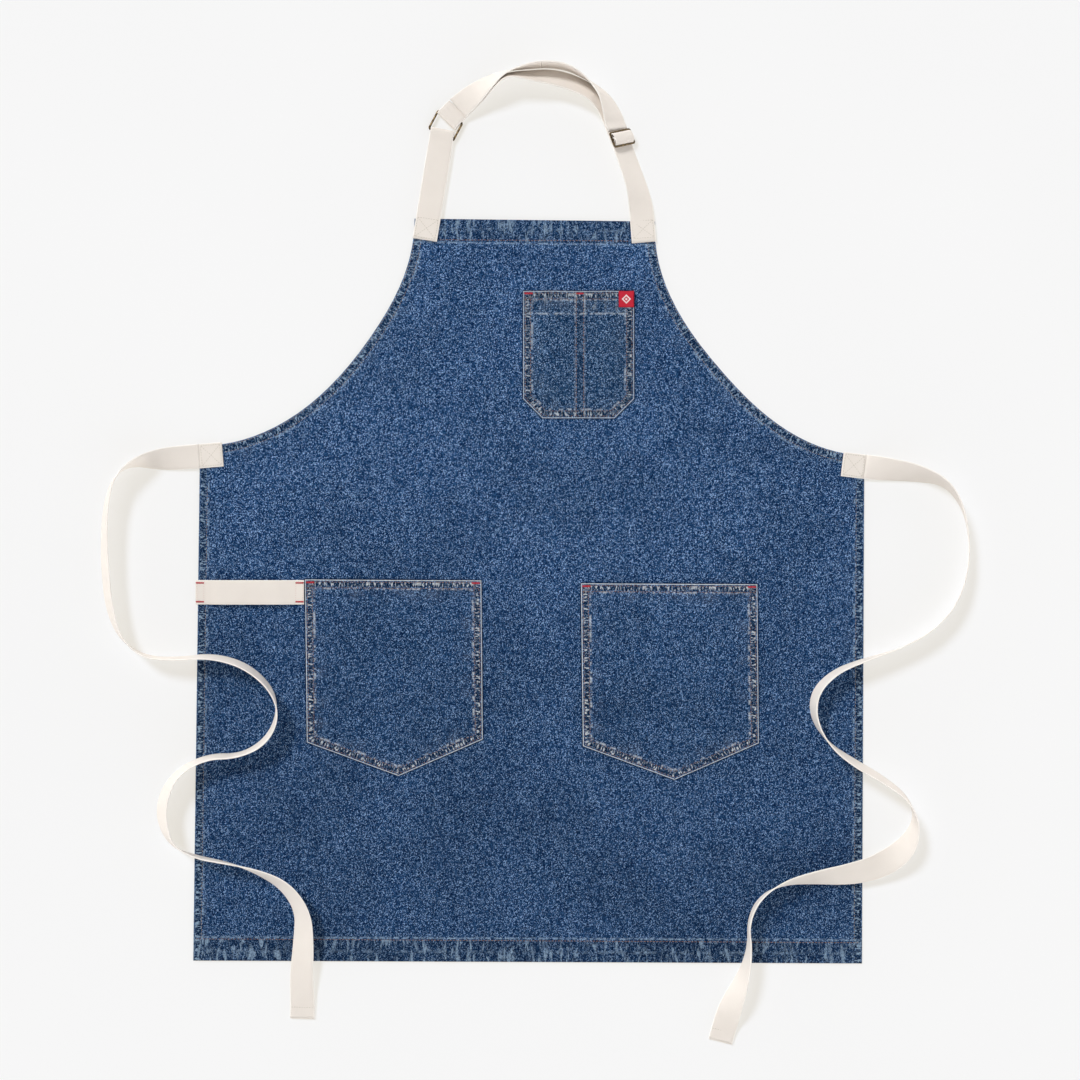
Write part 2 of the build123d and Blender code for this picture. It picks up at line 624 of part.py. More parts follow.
strap_start, strap_next = NECK_STRAP[:2]
strap_middle = between(strap_start[:2], strap_next[:2], 0.5)
strap_heading = heading(strap_start, strap_next)
anchor_middle = along(ANCHOR_START, anchor_way, NECK_PATCH / 2)
patches = {
    "neck_anchor": (anchor_middle, anchor_way, NECK_PATCH, PANEL_TOP + 2 * WEB),
    "neck_strap": (strap_middle, strap_heading, STRAP_PATCH, PANEL_TOP + WEB),
    "left_tie": tie_patch(LEFT_TIE),
    "right_tie": tie_patch(RIGHT_TIE),
}
for name, (middle, direction, length, height) in patches.items():
    parts[name + "_box_stitches"] = box_x(middle, direction, length, height)

os.makedirs("parts", exist_ok=True)
for name, shape in parts.items():
    export_step(shape, f"parts/{name}.step")
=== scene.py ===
import math
import bmesh
import bpy
import numpy as np
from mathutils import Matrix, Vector, geometry


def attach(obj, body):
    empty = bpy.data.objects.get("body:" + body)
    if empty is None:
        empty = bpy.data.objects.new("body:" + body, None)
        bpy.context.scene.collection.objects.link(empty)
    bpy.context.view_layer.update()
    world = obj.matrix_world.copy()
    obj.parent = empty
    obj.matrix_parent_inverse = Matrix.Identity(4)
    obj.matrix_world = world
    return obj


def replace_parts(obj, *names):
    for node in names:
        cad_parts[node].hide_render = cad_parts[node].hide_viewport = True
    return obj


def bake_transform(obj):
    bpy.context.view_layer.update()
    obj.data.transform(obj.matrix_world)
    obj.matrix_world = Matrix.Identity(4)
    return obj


# A denim bib apron lying flat on a pale floor. Geometry is worked out in millimetres and made in metres.
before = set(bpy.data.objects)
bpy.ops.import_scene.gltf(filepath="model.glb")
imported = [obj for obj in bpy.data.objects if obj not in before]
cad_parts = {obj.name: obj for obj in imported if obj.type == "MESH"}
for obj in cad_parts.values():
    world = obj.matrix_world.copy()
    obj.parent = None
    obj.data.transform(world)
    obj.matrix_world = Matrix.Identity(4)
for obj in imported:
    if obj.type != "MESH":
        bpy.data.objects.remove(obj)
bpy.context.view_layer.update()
MM = 0.001

# The CAD part's dimensions that its soft pieces share
DENIM = 0.8
HEM = 1.2
TOP = 2.0
WIDTH = 25.4
WEB = 1.4
THREAD = 0.6
EDGE_ROW = 1.5
INNER_ROW = 8.4
POCKET_EDGE_ROW = 2.2
POCKET_INNER_ROW = 7.6
SIDE_HEM = 9.4
BAND_HEM = 23.0
BIB_LEFT = (-119, 309)
BIB_RIGHT = (131, 306)
LEFT_SHOULDER = (-342, 73)
RIGHT_SHOULDER = (348.5, 63)
BOTTOM_LEFT = (-349, -462)
BOTTOM_RIGHT = (346, -465)


def linear(red, green, blue):
    """A colour as it looks on a screen, 0 to 255, as the linear values that a shader takes."""
    return (*[(c / 255 / 12.92) if c < 11 else ((c / 255 + 0.055) / 1.055) ** 2.4 for c in (red, green, blue)], 1)


# Camera and light: what the key, the fill and the even light around each add to a white level surface
KEY = 0.48
FILL = 0.16
AMBIENT = 0.36
camera = bpy.data.objects.new("camera", bpy.data.cameras.new("camera"))
bpy.context.scene.collection.objects.link(camera)
camera.location = (0.0114, -0.025, 1.7)
camera.data.sensor_width = 36
camera.data.lens = 54.5
bpy.context.scene.camera = camera
bpy.context.scene.view_settings.view_transform = "Standard"

world = bpy.data.worlds.new("studio")
bpy.context.scene.world = world
world.use_nodes = True
background = world.node_tree.nodes["Background"]
background.inputs["Color"].default_value = (1, 1, 1, 1)
sky_place = world.node_tree.nodes.new("ShaderNodeTexCoord")
sky_split = world.node_tree.nodes.new("ShaderNodeSeparateXYZ")
world.node_tree.links.new(sky_place.outputs["Generated"], sky_split.inputs[0])
sky = sky_split.outputs["Z"]
for operation, amount in (("SUBTRACT", 1.0), ("POWER", 4.0), ("MULTIPLY", 7.5 * AMBIENT), ("ADD", 0.5 * AMBIENT)):
    step = world.node_tree.nodes.new("ShaderNodeMath")
    step.operation = operation
    step.use_clamp = operation == "SUBTRACT"
    world.node_tree.links.new(sky, step.inputs[1 if operation == "SUBTRACT" else 0])
    step.inputs[0 if operation == "SUBTRACT" else 1].default_value = amount
    sky = step.outputs[0]
world.node_tree.links.new(sky, background.inputs["Strength"])
# Each sun's name, share of the light, way towards it and apparent size in degrees
SUNS = [("key_light", KEY, (-0.60, 0.76, 0.95), 14), ("fill_light", FILL, (0.60, -0.76, 0.55), 70)]
for name, share, way, softness in SUNS:
    sun = bpy.data.objects.new(name, bpy.data.lights.new(name, "SUN"))
    bpy.context.scene.collection.objects.link(sun)
    to_light = Vector(way).normalized()
    sun.data.energy = share * math.pi / to_light.z
    sun.data.angle = math.radians(softness)
    sun.rotation_euler = to_light.to_track_quat("Z", "Y").to_euler()


# Routes and ribbons
def route(points):
    """The points along a smooth NURBS line that has these points as its control points."""
    curve = bpy.data.curves.new("route", "CURVE")
    curve.dimensions = "3D"
    curve.resolution_u = 14
    spline = curve.splines.new("NURBS")
    spline.points.add(len(points) - 1)
    for target, point in zip(spline.points, points):
        target.co = (*point, 1)
    spline.order_u = 3
    spline.use_endpoint_u = True
    holder = bpy.data.objects.new("route", curve)
    mesh = bpy.data.meshes.new_from_object(holder)
    line = np.array([v.co for v in mesh.vertices], float)
    bpy.data.meshes.remove(mesh)
    bpy.data.objects.remove(holder)
    bpy.data.curves.remove(curve)
    return line


def unit(v):
    return v / np.maximum(np.linalg.norm(v, axis=-1, keepdims=True), 1e-9)


def lengths(line):
    return np.concatenate([[0], np.cumsum(np.linalg.norm(np.diff(line, axis=0), axis=1))])


def make(name, points, faces, values=None):
    """A mesh object from points in millimetres, faces and named values per point."""
    mesh = bpy.data.meshes.new(name)
    mesh.from_pydata((np.asarray(points) * MM).tolist(), [], faces)
    bm = bmesh.new()
    bm.from_mesh(mesh)
    bmesh.ops.recalc_face_normals(bm, faces=bm.faces)
    bm.to_mesh(mesh)
    bm.free()
    mesh.polygons.foreach_set("use_smooth", [True] * len(mesh.polygons))
    for key, array in (values or {}).items():
        attribute = mesh.attributes.new(key, "FLOAT", "POINT")
        attribute.data.foreach_set("value", np.asarray(array, np.float32))
    obj = bpy.data.objects.new(name, mesh)
    bpy.context.scene.collection.objects.link(obj)
    return obj


# The webbing's cross section: places across it and its upper side's height there, each as a share of the most
UPPER_SIDE = [(-1, 0), (-0.985, 0.62), *((a, 1) for a in (-0.95, -0.72, -0.36, 0, 0.36, 0.72, 0.95)), (0.985, 0.62),
              (1, 0)]
SECTION = UPPER_SIDE + [(a, -b) for a, b in UPPER_SIDE[-2:0:-1]]


def ripple(s, size, seed):
    """A smooth, repeatable unevenness along a length, about -1 to 1."""
    r = np.random.default_rng(seed)
    total = np.zeros_like(s, float)
    for k in range(5):
        total += np.sin(s / size * r.uniform(0.5, 2.2) * 2 * math.pi + r.uniform(0, 6.3))
    return total / 3


def strip(name, centres, halves, thick=WEB, seed=1, uneven=0.12):
    """Webbing along centre points, with the half-width vector at each of them."""
    centres = np.asarray(centres, float)
    halves = np.asarray(halves, float)
    travel = unit(np.gradient(centres, axis=0))
    normal = unit(np.cross(travel, halves))
    along = lengths(centres)
    a, b = np.array(SECTION, float).T
    edge = 1 + 0.004 * ripple(along, 11, seed)
    cup = uneven * ripple(along, 37, seed + 1)[:, None] * (1 - a[None, :] ** 2)
    cup = cup + 0.4 * uneven * ripple(along, 9, seed + 2)[:, None] * a[None, :] ** 3
    points = (centres[:, None, :] + halves[:, None, :] * (a[None, :] * edge[:, None])[..., None]
              + normal[:, None, :] * (b[None, :] * thick / 2 + cup)[..., None])
    n, m = len(centres), len(SECTION)
    rounds = [(i * m, j, (j + 1) % m) for i in range(n - 1) for j in range(m)]
    faces = [(i + j, i + k, i + m + k, i + m + j) for i, j, k in rounds]
    faces += [tuple(range(m))[::-1], tuple(range((n - 1) * m, n * m))]
    across = np.tile(a, n) * np.repeat(np.linalg.norm(halves, axis=1), m)
    obj = make(name, points.reshape(-1, 3), faces, {"across": across, "along": np.repeat(along, m)})
    for end in obj.data.polygons[-2:]:
        end.use_smooth = False
    return obj


def rolled(stations, side):
    """Centre points and half-width vectors of a ribbon that rolls about its route."""
    centres = []
    for x, y, base, roll in stations:
        turn = math.radians(roll)
        centres.append((x, y, base + WIDTH / 2 * abs(math.sin(turn)) + WEB / 2 * abs(math.cos(turn))))
    line = route(centres)
    roll = np.radians(route([(roll, 0, 0) for x, y, base, roll in stations])[:, 0])
    flat = np.gradient(line, axis=0)
    flat[:, 2] = 0
    flat = unit(flat)
    left = np.stack([-flat[:, 1], flat[:, 0], 0 * roll], axis=1) * side
    return line, (left * np.cos(roll)[:, None] + np.array([0, 0, 1]) * np.sin(roll)[:, None]) * WIDTH / 2


# Waist ties: x, y, height of the lowest edge, roll. The edge on the left of the way they run rises.
CLOTH = 2.5
TABLE = 0.3
LEFT_TIE = [
    (-342, 62, TOP, 180), (-366, 60, 1.2, 168), (-390, 57.5, TABLE, 134), (-408, 54, TABLE, 100),
    (-422, 46.5, TABLE, 79),
    (-432, 32, TABLE, 70), (-437.5, 5, TABLE, 65), (-438.5, -25, TABLE, 61), (-437.5, -60, TABLE, 59),
    (-433, -98, TABLE, 60), (-422, -127, TABLE, 72), (-398, -146, TABLE, 90), (-364, -148, CLOTH, 94),
    (-328, -144, CLOTH, 97), (-292, -154, CLOTH, 96), (-265, -178, CLOTH, 90), (-258, -206, CLOTH, 76),
    (-271, -233, CLOTH, 76), (-299, -248, CLOTH, 87), (-331, -248, CLOTH, 84), (-361, -263, CLOTH, 74),
    (-377, -287, TABLE, 58), (-380.5, -314, TABLE, 53), (-369, -341, 1.6, 70), (-343, -352, CLOTH, 85),
    (-311, -358, CLOTH, 82), (-280, -367, CLOTH, 68), (-251, -382, CLOTH, 52), (-233, -409, CLOTH, 44),
    (-233, -441, CLOTH, 28), (-236, -478, 2.3, 12), (-235, -504, 1.5, 0), (-235.5, -521, 1.5, 0),
]
RIGHT_TIE = [
    (349, 51, TOP, 0), (374, 48, 1.2, 28), (402, 44, TABLE, 50), (432, 34, TABLE, 84), (449, 8, TABLE, 100),
    (455, -26, TABLE, 105), (453, -61, TABLE, 105), (441, -94, TABLE, 104), (415, -121, TABLE, 101),
    (381, -138, TABLE, 98), (348, -148, CLOTH, 90), (316, -160, CLOTH, 86), (294, -182, CLOTH, 82),
    (293, -210, CLOTH, 84), (310, -237, CLOTH, 96), (337, -256, CLOTH, 106), (367, -273, CLOTH, 104),
    (393, -293, TABLE, 100), (401, -317, TABLE, 90), (389, -344, 4, 44), (363, -363, 8, 2),
    (330, -370, 8, -22), (296, -373, 4, -48), (264, -378, CLOTH, -70), (238, -393, CLOTH, -84),
    (226, -418, CLOTH, -86), (228, -446, CLOTH, -92), (222, -474, CLOTH, -108), (210, -504, 1.8, -142),
    (203, -529, 1.5, -180), (199, -545, 1.5, -180),
]
TIE_SEWN = 24
TIE_FOLD = 12


def capsule(a, b, lift, width, height):
    """One visible stitch from a to b: a thread that comes out of the cloth, lies on it and goes back in."""
    a, b = np.asarray(a, float), np.asarray(b, float)
    way = unit(b - a)
    lift = unit(np.asarray(lift, float))
    side = np.cross(way, lift)
    points = [a - lift * 0.25]
    for share, size in ((0.12, 0.75), (0.5, 1), (0.88, 0.75)):
        middle = a + (b - a) * share + lift * (height * size - width * 0.35)
        for k in range(6):
            turn = k * math.pi / 3
            points.append(middle + (side * math.cos(turn) * width / 2 + lift * math.sin(turn) * width * 0.36) * size)
    points.append(b - lift * 0.25)
    return points


# A capsule's faces: its first point, three rounds of six points, and its last point
PAIRS = [(k, (k + 1) % 6) for k in range(6)]
CAPSULE_FACES = [(0, 1 + b, 1 + a) for a, b in PAIRS]
CAPSULE_FACES += [(r + a, r + b, r + 6 + b, r + 6 + a) for r in (1, 7) for a, b in PAIRS]
CAPSULE_FACES += [(13 + a, 13 + b, 19) for a, b in PAIRS]


def threads(name, stitches, width=THREAD, height=0.42):
    """Many separate stitches, each (start, end, way up), as one mesh."""
    points, faces, number = [], [], []
    for i, (a, b, lift) in enumerate(stitches):
        base = len(points)
        points += capsule(a, b, lift, width, height)
        faces += [tuple(base + k for k in face) for face in CAPSULE_FACES]
        number += [i * 0.37] * (len(points) - base)
    return make(name, points, faces, {"number": number})


def spaced(line, step):
    """The line again, with evenly spaced points about a step apart."""
    line = np.asarray(line, float)
    at = lengths(line)
    new = np.linspace(0, at[-1], max(2, round(at[-1] / step) + 1))
    return np.stack([np.interp(new, at, line[:, k]) for k in range(line.shape[1])], axis=1)


def heading(a, b):
    return unit(np.array([b[0] - a[0], b[1] - a[1], 0.0]))


def place(start, way, distance, across=0.0, height=0.0):
    """A point so far along a level direction and to the left of it, at a height."""
    return np.array([start[0] + way[0] * distance - way[1] * across, start[1] + way[1] * distance + way[0] * across,
                     height])


ties = {}
for name, stations in (("left", LEFT_TIE), ("right", RIGHT_TIE)):
    line, halves = rolled(stations, 1)
    tie = strip(name + "_tie_webbing", line, halves, seed=len(name))
    out = heading(stations[-2], stations[-1])
    end = stations[-1]
    low, high = 0.8, end[2] + WEB / 2
    side = np.array([-out[1], out[0], 0]) * WIDTH / 2
    fold_path = [place(end, out, d, 0, low) for d in np.linspace(-TIE_FOLD, 0, 7)]
    fold_path += [place(end, out, (high - low) / 2 * math.sin(t), 0, (low + high) / 2 - (high - low) / 2 * math.cos(t))
                  for t in np.linspace(0.4, math.pi, 7)]
    fold = strip(name + "_tie_turned_end", fold_path, [side] * len(fold_path), thick=WEB * 0.94, uneven=0)
    row = [place(end, out, 1 - TIE_FOLD, v, end[2] + WEB) for v in np.linspace(-11.7, 11.7, 10)]
    stitching = threads(name + "_tie_end_stitching", [(a, a + (b - a) * 0.8, (0, 0, 1)) for a, b in zip(row, row[1:])])
    ties[name] = (tie, fold, stitching, line)
    first = stations[0]
    inward = heading(stations[1], first)
    sewn_path = [place(first, inward, d, 0, TOP + WEB / 2) for d in np.linspace(0, TIE_SEWN, 13)]
    side = np.array([inward[1], -inward[0], 0]) * WIDTH / 2
    ties[name + "_sewn"] = strip(name + "_tie_sewn_webbing", sewn_path, [side] * 13, uneven=0.03)

# Plan outlines and distances


def outline_of(node, height):
    """The outline, anticlockwise, of a flat CAD node's faces that look up at a height."""
    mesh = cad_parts[node].data
    open_edges = {}
    for polygon in mesh.polygons:
        if polygon.normal.z > 0.9 and abs(polygon.center.z / MM - height) < 0.05:
            keys = [(round(mesh.vertices[i].co.x * 1e5), round(mesh.vertices[i].co.y * 1e5)) for i in polygon.vertices]
            for a, b in zip(keys, keys[1:] + keys[:1]):
                if (b, a) in open_edges:
                    del open_edges[(b, a)]
                else:
                    open_edges[(a, b)] = True
    follow = dict(list(open_edges))
    loop = [next(iter(follow))]
    while follow[loop[-1]] != loop[0]:
        loop.append(follow[loop[-1]])
    return np.array(loop, float) / 100


def shifted(line, depth, closed):
    """The line moved to its left by a depth, with its corners kept."""
    before = unit(line - np.roll(line, 1, axis=0))
    after = unit(np.roll(line, -1, axis=0) - line)
    if not closed:
        before[0], after[-1] = after[0], before[-1]
    left = np.stack([-before[:, 1] - after[:, 1], before[:, 0] + after[:, 0]], axis=1)
    return line + left * (depth / (1 + (before * after).sum(1)))[:, None]


def nearest(points, line):
    """For each point, its distance to a line and how far along the line the nearest place is."""
    a, b = line[:-1], line[1:]
    d = b - a
    size = np.maximum((d * d).sum(1), 1e-9)
    at = lengths(line)
    far, along = np.empty(len(points)), np.empty(len(points))
    for i in range(0, len(points), 2000):
        p = points[i : i + 2000, None, :]
        t = np.clip(((p - a) * d).sum(2) / size, 0, 1)
        gap = np.linalg.norm(p - a - t[..., None] * d, axis=2)
        k = gap.argmin(1)
        rows = np.arange(len(k))
        far[i : i + 2000] = gap[rows, k]
        along[i : i + 2000] = at[k] + t[rows, k] * (at[k + 1] - at[k])
    return far, along


def to_lines(points, lines):
    """The same for the nearest of several lines."""
    found = [nearest(points, np.asarray(line, float)) for line in lines]
    best = np.argmin([f[0] for f in found], axis=0)
    pick = np.arange(len(points))
    along = np.array([f[1] + 700 * k for k, f in enumerate(found)])
    return np.array([f[0] for f in found])[best, pick], along[best, pick]


def inside(points, outline):
    a, b = outline, np.roll(outline, -1, axis=0)
    result = np.zeros(len(points), bool)
    for p, q in zip(a, b):
        crosses = (p[1] > points[:, 1]) != (q[1] > points[:, 1])
        at = p[0] + (points[:, 1] - p[1]) / (q[1] - p[1] if q[1] != p[1] else 1e-9) * (q[0] - p[0])
        result ^= crosses & (points[:, 0] < at)
    return result


def smooth(x, low, high):
    t = np.clip((x - low) / (high - low), 0, 1)
    return t * t * (3 - 2 * t)


def waves(x, y, size, seed):
    """Gentle repeatable unevenness over the cloth, about -1 to 1."""
    r = np.random.default_rng(seed)
    total = np.zeros_like(x, float)
    for k in range(9):
        turn = r.uniform(0, math.pi)
        across = (x * math.cos(turn) + y * math.sin(turn)) / size
        total += np.sin(across * r.uniform(0.5, 1.6) * 2 * math.pi + r.uniform(0, 6.3))
    return total / 4


def area_of(outline):
    x, y = outline[:, 0], outline[:, 1]
    return abs((x * np.roll(y, -1) - y * np.roll(x, -1)).sum()) / 2


def fine(outline, step):
    """An outline with points about a step apart and its corners kept."""
    rows = []
    for a, b in zip(outline, np.roll(outline, -1, axis=0)):
        n = max(1, round(np.linalg.norm(b - a) / step))
        rows += [a + (b - a) * k / n for k in range(n)]
    return np.array(rows)


def plan(outline, grid, depths, lines=()):
    """Points and triangles that fill an outline, with rings of points near its edge and rows along given lines."""
    edge = fine(outline, 4.0)
    closed = np.vstack([edge, edge[:1]])
    rings = [edge]
    for depth in depths:
        ring = shifted(edge, depth, True)
        ring = ring[inside(ring, edge)]
        far, along = nearest(ring, closed)
        rings.append(ring[far > depth * 0.97])
    low, high = edge.min(0), edge.max(0)
    r = np.random.default_rng(3)
    xs, ys = np.arange(low[0] + grid / 2, high[0], grid), np.arange(low[1] + grid / 2, high[1], grid)
    middle = np.stack(np.meshgrid(xs, ys), axis=2).reshape(-1, 2)
    middle += r.uniform(-0.18, 0.18, middle.shape) * grid
    middle = middle[inside(middle, edge)]
    far, along = nearest(middle, closed)
    middle = middle[far > (depths[-1] if depths else 0) + grid * 0.45]
    for line in lines:
        row = spaced(line, 4.0)
        far, along = nearest(middle, row)
        middle = middle[far > 1.6]
        far, along = nearest(row, closed)
        rings.append(row[far > depths[-1]])
    points = np.vstack([*rings, middle])
    n = len(edge)
    made = geometry.delaunay_2d_cdt([Vector(p) for p in points], [(i, (i + 1) % n) for i in range(n)], [], 1, 1e-4)
    points = np.array([tuple(v) for v in made[0]])
    return points, [tuple(f) for f in made[2]], nearest(points, closed)[0]


def cloth(name, outline, top, bottom, grid=6.0, depths=(0.3, 0.8, 1.5, 3), lines=(), values=None, rim=0.8):
    """A piece of cloth with a thickness and rounded edges between two height functions."""
    points, triangles, far = plan(np.asarray(outline, float), grid, depths, lines)
    x, y = points[:, 0], points[:, 1]
    high, low = top(x, y), bottom(x, y)
    full = np.sqrt(np.clip(1 - (1 - np.clip(far / rim, 0, 1)) ** 2, 0, 1))
    middle = (high + low) / 2
    upper = np.stack([x, y, middle + (high - low) / 2 * full], axis=1)
    lower = np.stack([x, y, middle - (high - low) / 2 * full], axis=1)
    own = far > 1e-3
    index = np.arange(len(points))
    index[own] = len(points) + np.arange(own.sum())
    faces = triangles + [tuple(int(index[i]) for i in reversed(t)) for t in triangles]
    given = {key: np.concatenate([v, v[own]]) for key, v in (values(points, far) if values else {}).items()}
    return make(name, np.vstack([upper, lower[own]]), faces, given)


# Body panel
panel_outline = outline_of("body_panel", TOP)


def corner(point):
    return int(np.linalg.norm(panel_outline - np.array(point), axis=1).argmin())


def stretch(a, b):
    """The panel's outline from one corner to another, anticlockwise."""
    i, j = corner(a), corner(b)
    count = (j - i) % len(panel_outline)
    return panel_outline[[(i + k) % len(panel_outline) for k in range(count + 1)]]


top_edge = stretch(BIB_RIGHT, BIB_LEFT)
left_edge = stretch(BIB_LEFT, BOTTOM_LEFT)
bottom_edge = stretch(BOTTOM_LEFT, BOTTOM_RIGHT)
right_edge = stretch(BOTTOM_RIGHT, BIB_RIGHT)
left_armhole = stretch(BIB_LEFT, LEFT_SHOULDER)
right_armhole = stretch(RIGHT_SHOULDER, BIB_RIGHT)

# Pockets, in plan: each runs down its left side and round to its right
POCKET = np.array([(0, 0), (2, -169), (97, -204), (184.5, -166), (183, -1)], float)
pocket_lines = {
    "left": POCKET + (-232.6, -66),
    "right": POCKET + (54, -70),
    "chest": np.array([(-6, 233.5), (-6, 121.5), (14, 101.5), (89, 101.5), (109, 121.5), (109, 233.5)]),
}
divider = (49.0, 56.7)
LOOP_Y = -79.3

folds = {}


def panel_top(x, y):
    """The height of the panel's upper side: raised over its hems, pressed at its stitch rows, and a little uneven."""
    x, y = np.atleast_1d(np.asarray(x, float)), np.atleast_1d(np.asarray(y, float))
    points = np.stack([x, y], axis=1)
    side, along = to_lines(points, [left_edge, right_edge])
    band, _ = to_lines(points, [top_edge, bottom_edge])
    over_hem = np.minimum(smooth(side, SIDE_HEM, SIDE_HEM + 5), smooth(band, BAND_HEM + 1, BAND_HEM + 7))
    open_cloth = smooth(np.minimum(side - SIDE_HEM, band - BAND_HEM), 0, 40)
    height = TOP - 0.55 * over_hem + 0.3 * waves(x, y, 95, 5) * open_cloth
    height = height + 0.12 * waves(x, y, 31, 8) * over_hem
    if folds:
        height = height + folds["sample"](x, y) * open_cloth
    in_side = 1 - smooth(side, SIDE_HEM, SIDE_HEM + 7)
    height += 0.16 * ripple(along, 9.5, 21) * in_side
    in_band = 1 - smooth(band, BAND_HEM, BAND_HEM + 9)
    height += 0.2 * ripple(x, 21, 22) * in_band * smooth(band, 0, 4)
    for row in (EDGE_ROW, INNER_ROW):
        height -= 0.28 * np.exp(-(((side - row) / 0.9) ** 2))
    height -= 0.3 * np.exp(-(((band - BAND_HEM) / 1.1) ** 2))
    return height


def panel_bottom(x, y):
    points = np.stack([np.atleast_1d(x), np.atleast_1d(y)], axis=1)
    far, along = to_lines(points, [left_edge, right_edge, top_edge, bottom_edge])
    return np.where(far < 1.15, 0.12, panel_top(x, y) - DENIM)


def signed_pocket(points):
    best = np.full(len(points), 60.0)
    for line in pocket_lines.values():
        ring = np.vstack([line, line[:1]])
        far, along = nearest(points, ring)
        far = np.where(inside(points, line), -far, far)
        best = np.minimum(best, far)
    return best


def panel_values(points, far):
    side, along = to_lines(points, [left_edge, right_edge])
    band, _ = to_lines(points, [top_edge, bottom_edge])
    return {"edge_d": side, "edge_s": along, "hem_d": band, "hem_s": points[:, 0], "pocket_d": signed_pocket(points),
            "rib_d": np.full(len(points), 50.0)}


# Cloth simulation: the panel's open cloth, a little longer than the space between its hems and pocket seams, settles
SIM_STEP = 10.0
SIM_FRAMES = 26
SLACK = 0.0035
RISE = (-0.4, 1.7)


def settle():
    """How much the cloth rises or sinks, in millimetres, on a level grid over the panel."""
    low, high = panel_outline.min(0), panel_outline.max(0)
    xs, ys = np.arange(low[0], high[0] + SIM_STEP, SIM_STEP), np.arange(low[1], high[1] + SIM_STEP, SIM_STEP)
    places = np.stack(np.meshgrid(xs, ys), axis=2).reshape(-1, 2)
    within = inside(places, panel_outline)
    side, _ = to_lines(places, [left_edge, right_edge])
    band, _ = to_lines(places, [top_edge, bottom_edge])
    seam, _ = to_lines(places, list(pocket_lines.values()))
    free = within & (side > SIDE_HEM + 3) & (band > BAND_HEM + 3) & (seam > 9)
    start = 0.5 * waves(places[:, 0], places[:, 1], 110, 5) * free
    wide = len(xs)
    faces = [(i, i + 1, i + wide + 1, i + wide) for i in range(len(places) - wide) if (i + 1) % wide]
    faces = [face for face in faces if within[list(face)].all()]
    sheet = make("settling_cloth", np.column_stack([places, start]), faces)
    held = sheet.vertex_groups.new(name="held")
    held.add(np.flatnonzero(~free).tolist(), 1.0, "REPLACE")
    modifier = sheet.modifiers.new("settle", "CLOTH")
    settings = modifier.settings
    settings.quality = 6
    settings.mass = 0.05
    settings.tension_stiffness = settings.compression_stiffness = 20
    settings.shear_stiffness = 10
    settings.bending_stiffness = 0.05
    settings.vertex_group_mass = "held"
    settings.shrink_min = -SLACK
    settings.effector_weights.gravity = 0
    modifier.collision_settings.use_collision = False
    modifier.point_cache.frame_start = 1
    modifier.point_cache.frame_end = SIM_FRAMES
    scene = bpy.context.scene
    for step in range(1, SIM_FRAMES + 1):
        scene.frame_set(step)
    settled = sheet.evaluated_get(bpy.context.evaluated_depsgraph_get()).to_mesh()
    rise = np.array([v.co.z for v in settled.vertices]) / MM
    mesh = sheet.data
    bpy.data.objects.remove(sheet)
    bpy.data.meshes.remove(mesh)
    scene.frame_set(1)
    print("cloth settled between", round(float(rise.min()), 2), "and", round(float(rise.max()), 2), "mm")
    rise = np.clip(rise, *RISE).reshape(len(ys), wide)
    beside = [np.roll(rise, step, axis) for axis in (0, 1) for step in (1, -1)]
    return xs, ys, (rise + beside[0] + beside[1] + beside[2] + beside[3]) / 5


grid_x, grid_y, rise = settle()

def sample(x, y):
    """The settled cloth's rise at any place, between the grid's four nearest points."""
    u = np.clip((x - grid_x[0]) / SIM_STEP, 0, len(grid_x) - 1.001)
    v = np.clip((y - grid_y[0]) / SIM_STEP, 0, len(grid_y) - 1.001)
    i, j = u.astype(int), v.astype(int)
    a, b = u - i, v - j
    lower, upper = (rise[k, i] * (1 - a) + rise[k, i + 1] * a for k in (j, j + 1))
    return lower * (1 - b) + upper * b

folds["sample"] = sample

pocket_rows = [fine_row for line in pocket_lines.values() for fine_row in (line, shifted(line, -1.2, False))]
RINGS = (0.3, 0.8, 1.15, 1.4, 3.2, 5.0, 6.8, 8.4, 9.8, 12.5)
panel = cloth("panel_cloth", panel_outline, panel_top, panel_bottom, 5.5, RINGS, values=panel_values, lines=pocket_rows)
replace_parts(panel, "body_panel")
pieces = {"panel": panel}
outlines = {"panel": panel_outline}


# Turned hems under the panel
def hem_values(points, far):
    none = 50 + 0 * far
    return {"edge_d": far, "edge_s": points[:, 0] + points[:, 1], "hem_d": far + 40, "hem_s": points[:, 0],
            "pocket_d": none, "rib_d": none}


for node in ("bib_top_hem", "bottom_hem", "left_armhole_hem", "right_armhole_hem", "left_side_hem", "right_side_hem"):
    outline = outline_of(node, HEM)
    inner = shifted(fine(outline, 4.0), 1.25, True)
    far, along = nearest(inner, np.vstack([outline, outline[:1]]))
    inner = inner[far > 1.15]
    hem = cloth(node + "_cloth", inner, lambda x, y: panel_top(x, y) - DENIM - 0.04, lambda x, y: 0 * x + 0.32, 6.0,
                (0.3, 0.9, 3), values=hem_values, rim=0.6)
    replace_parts(hem, node)
    pieces[node] = hem
    outlines[node] = inner

# Pockets
POCKET_HEM = 8.4
GAPE = {"left": 2.4, "right": 2.4, "chest": 1.5}


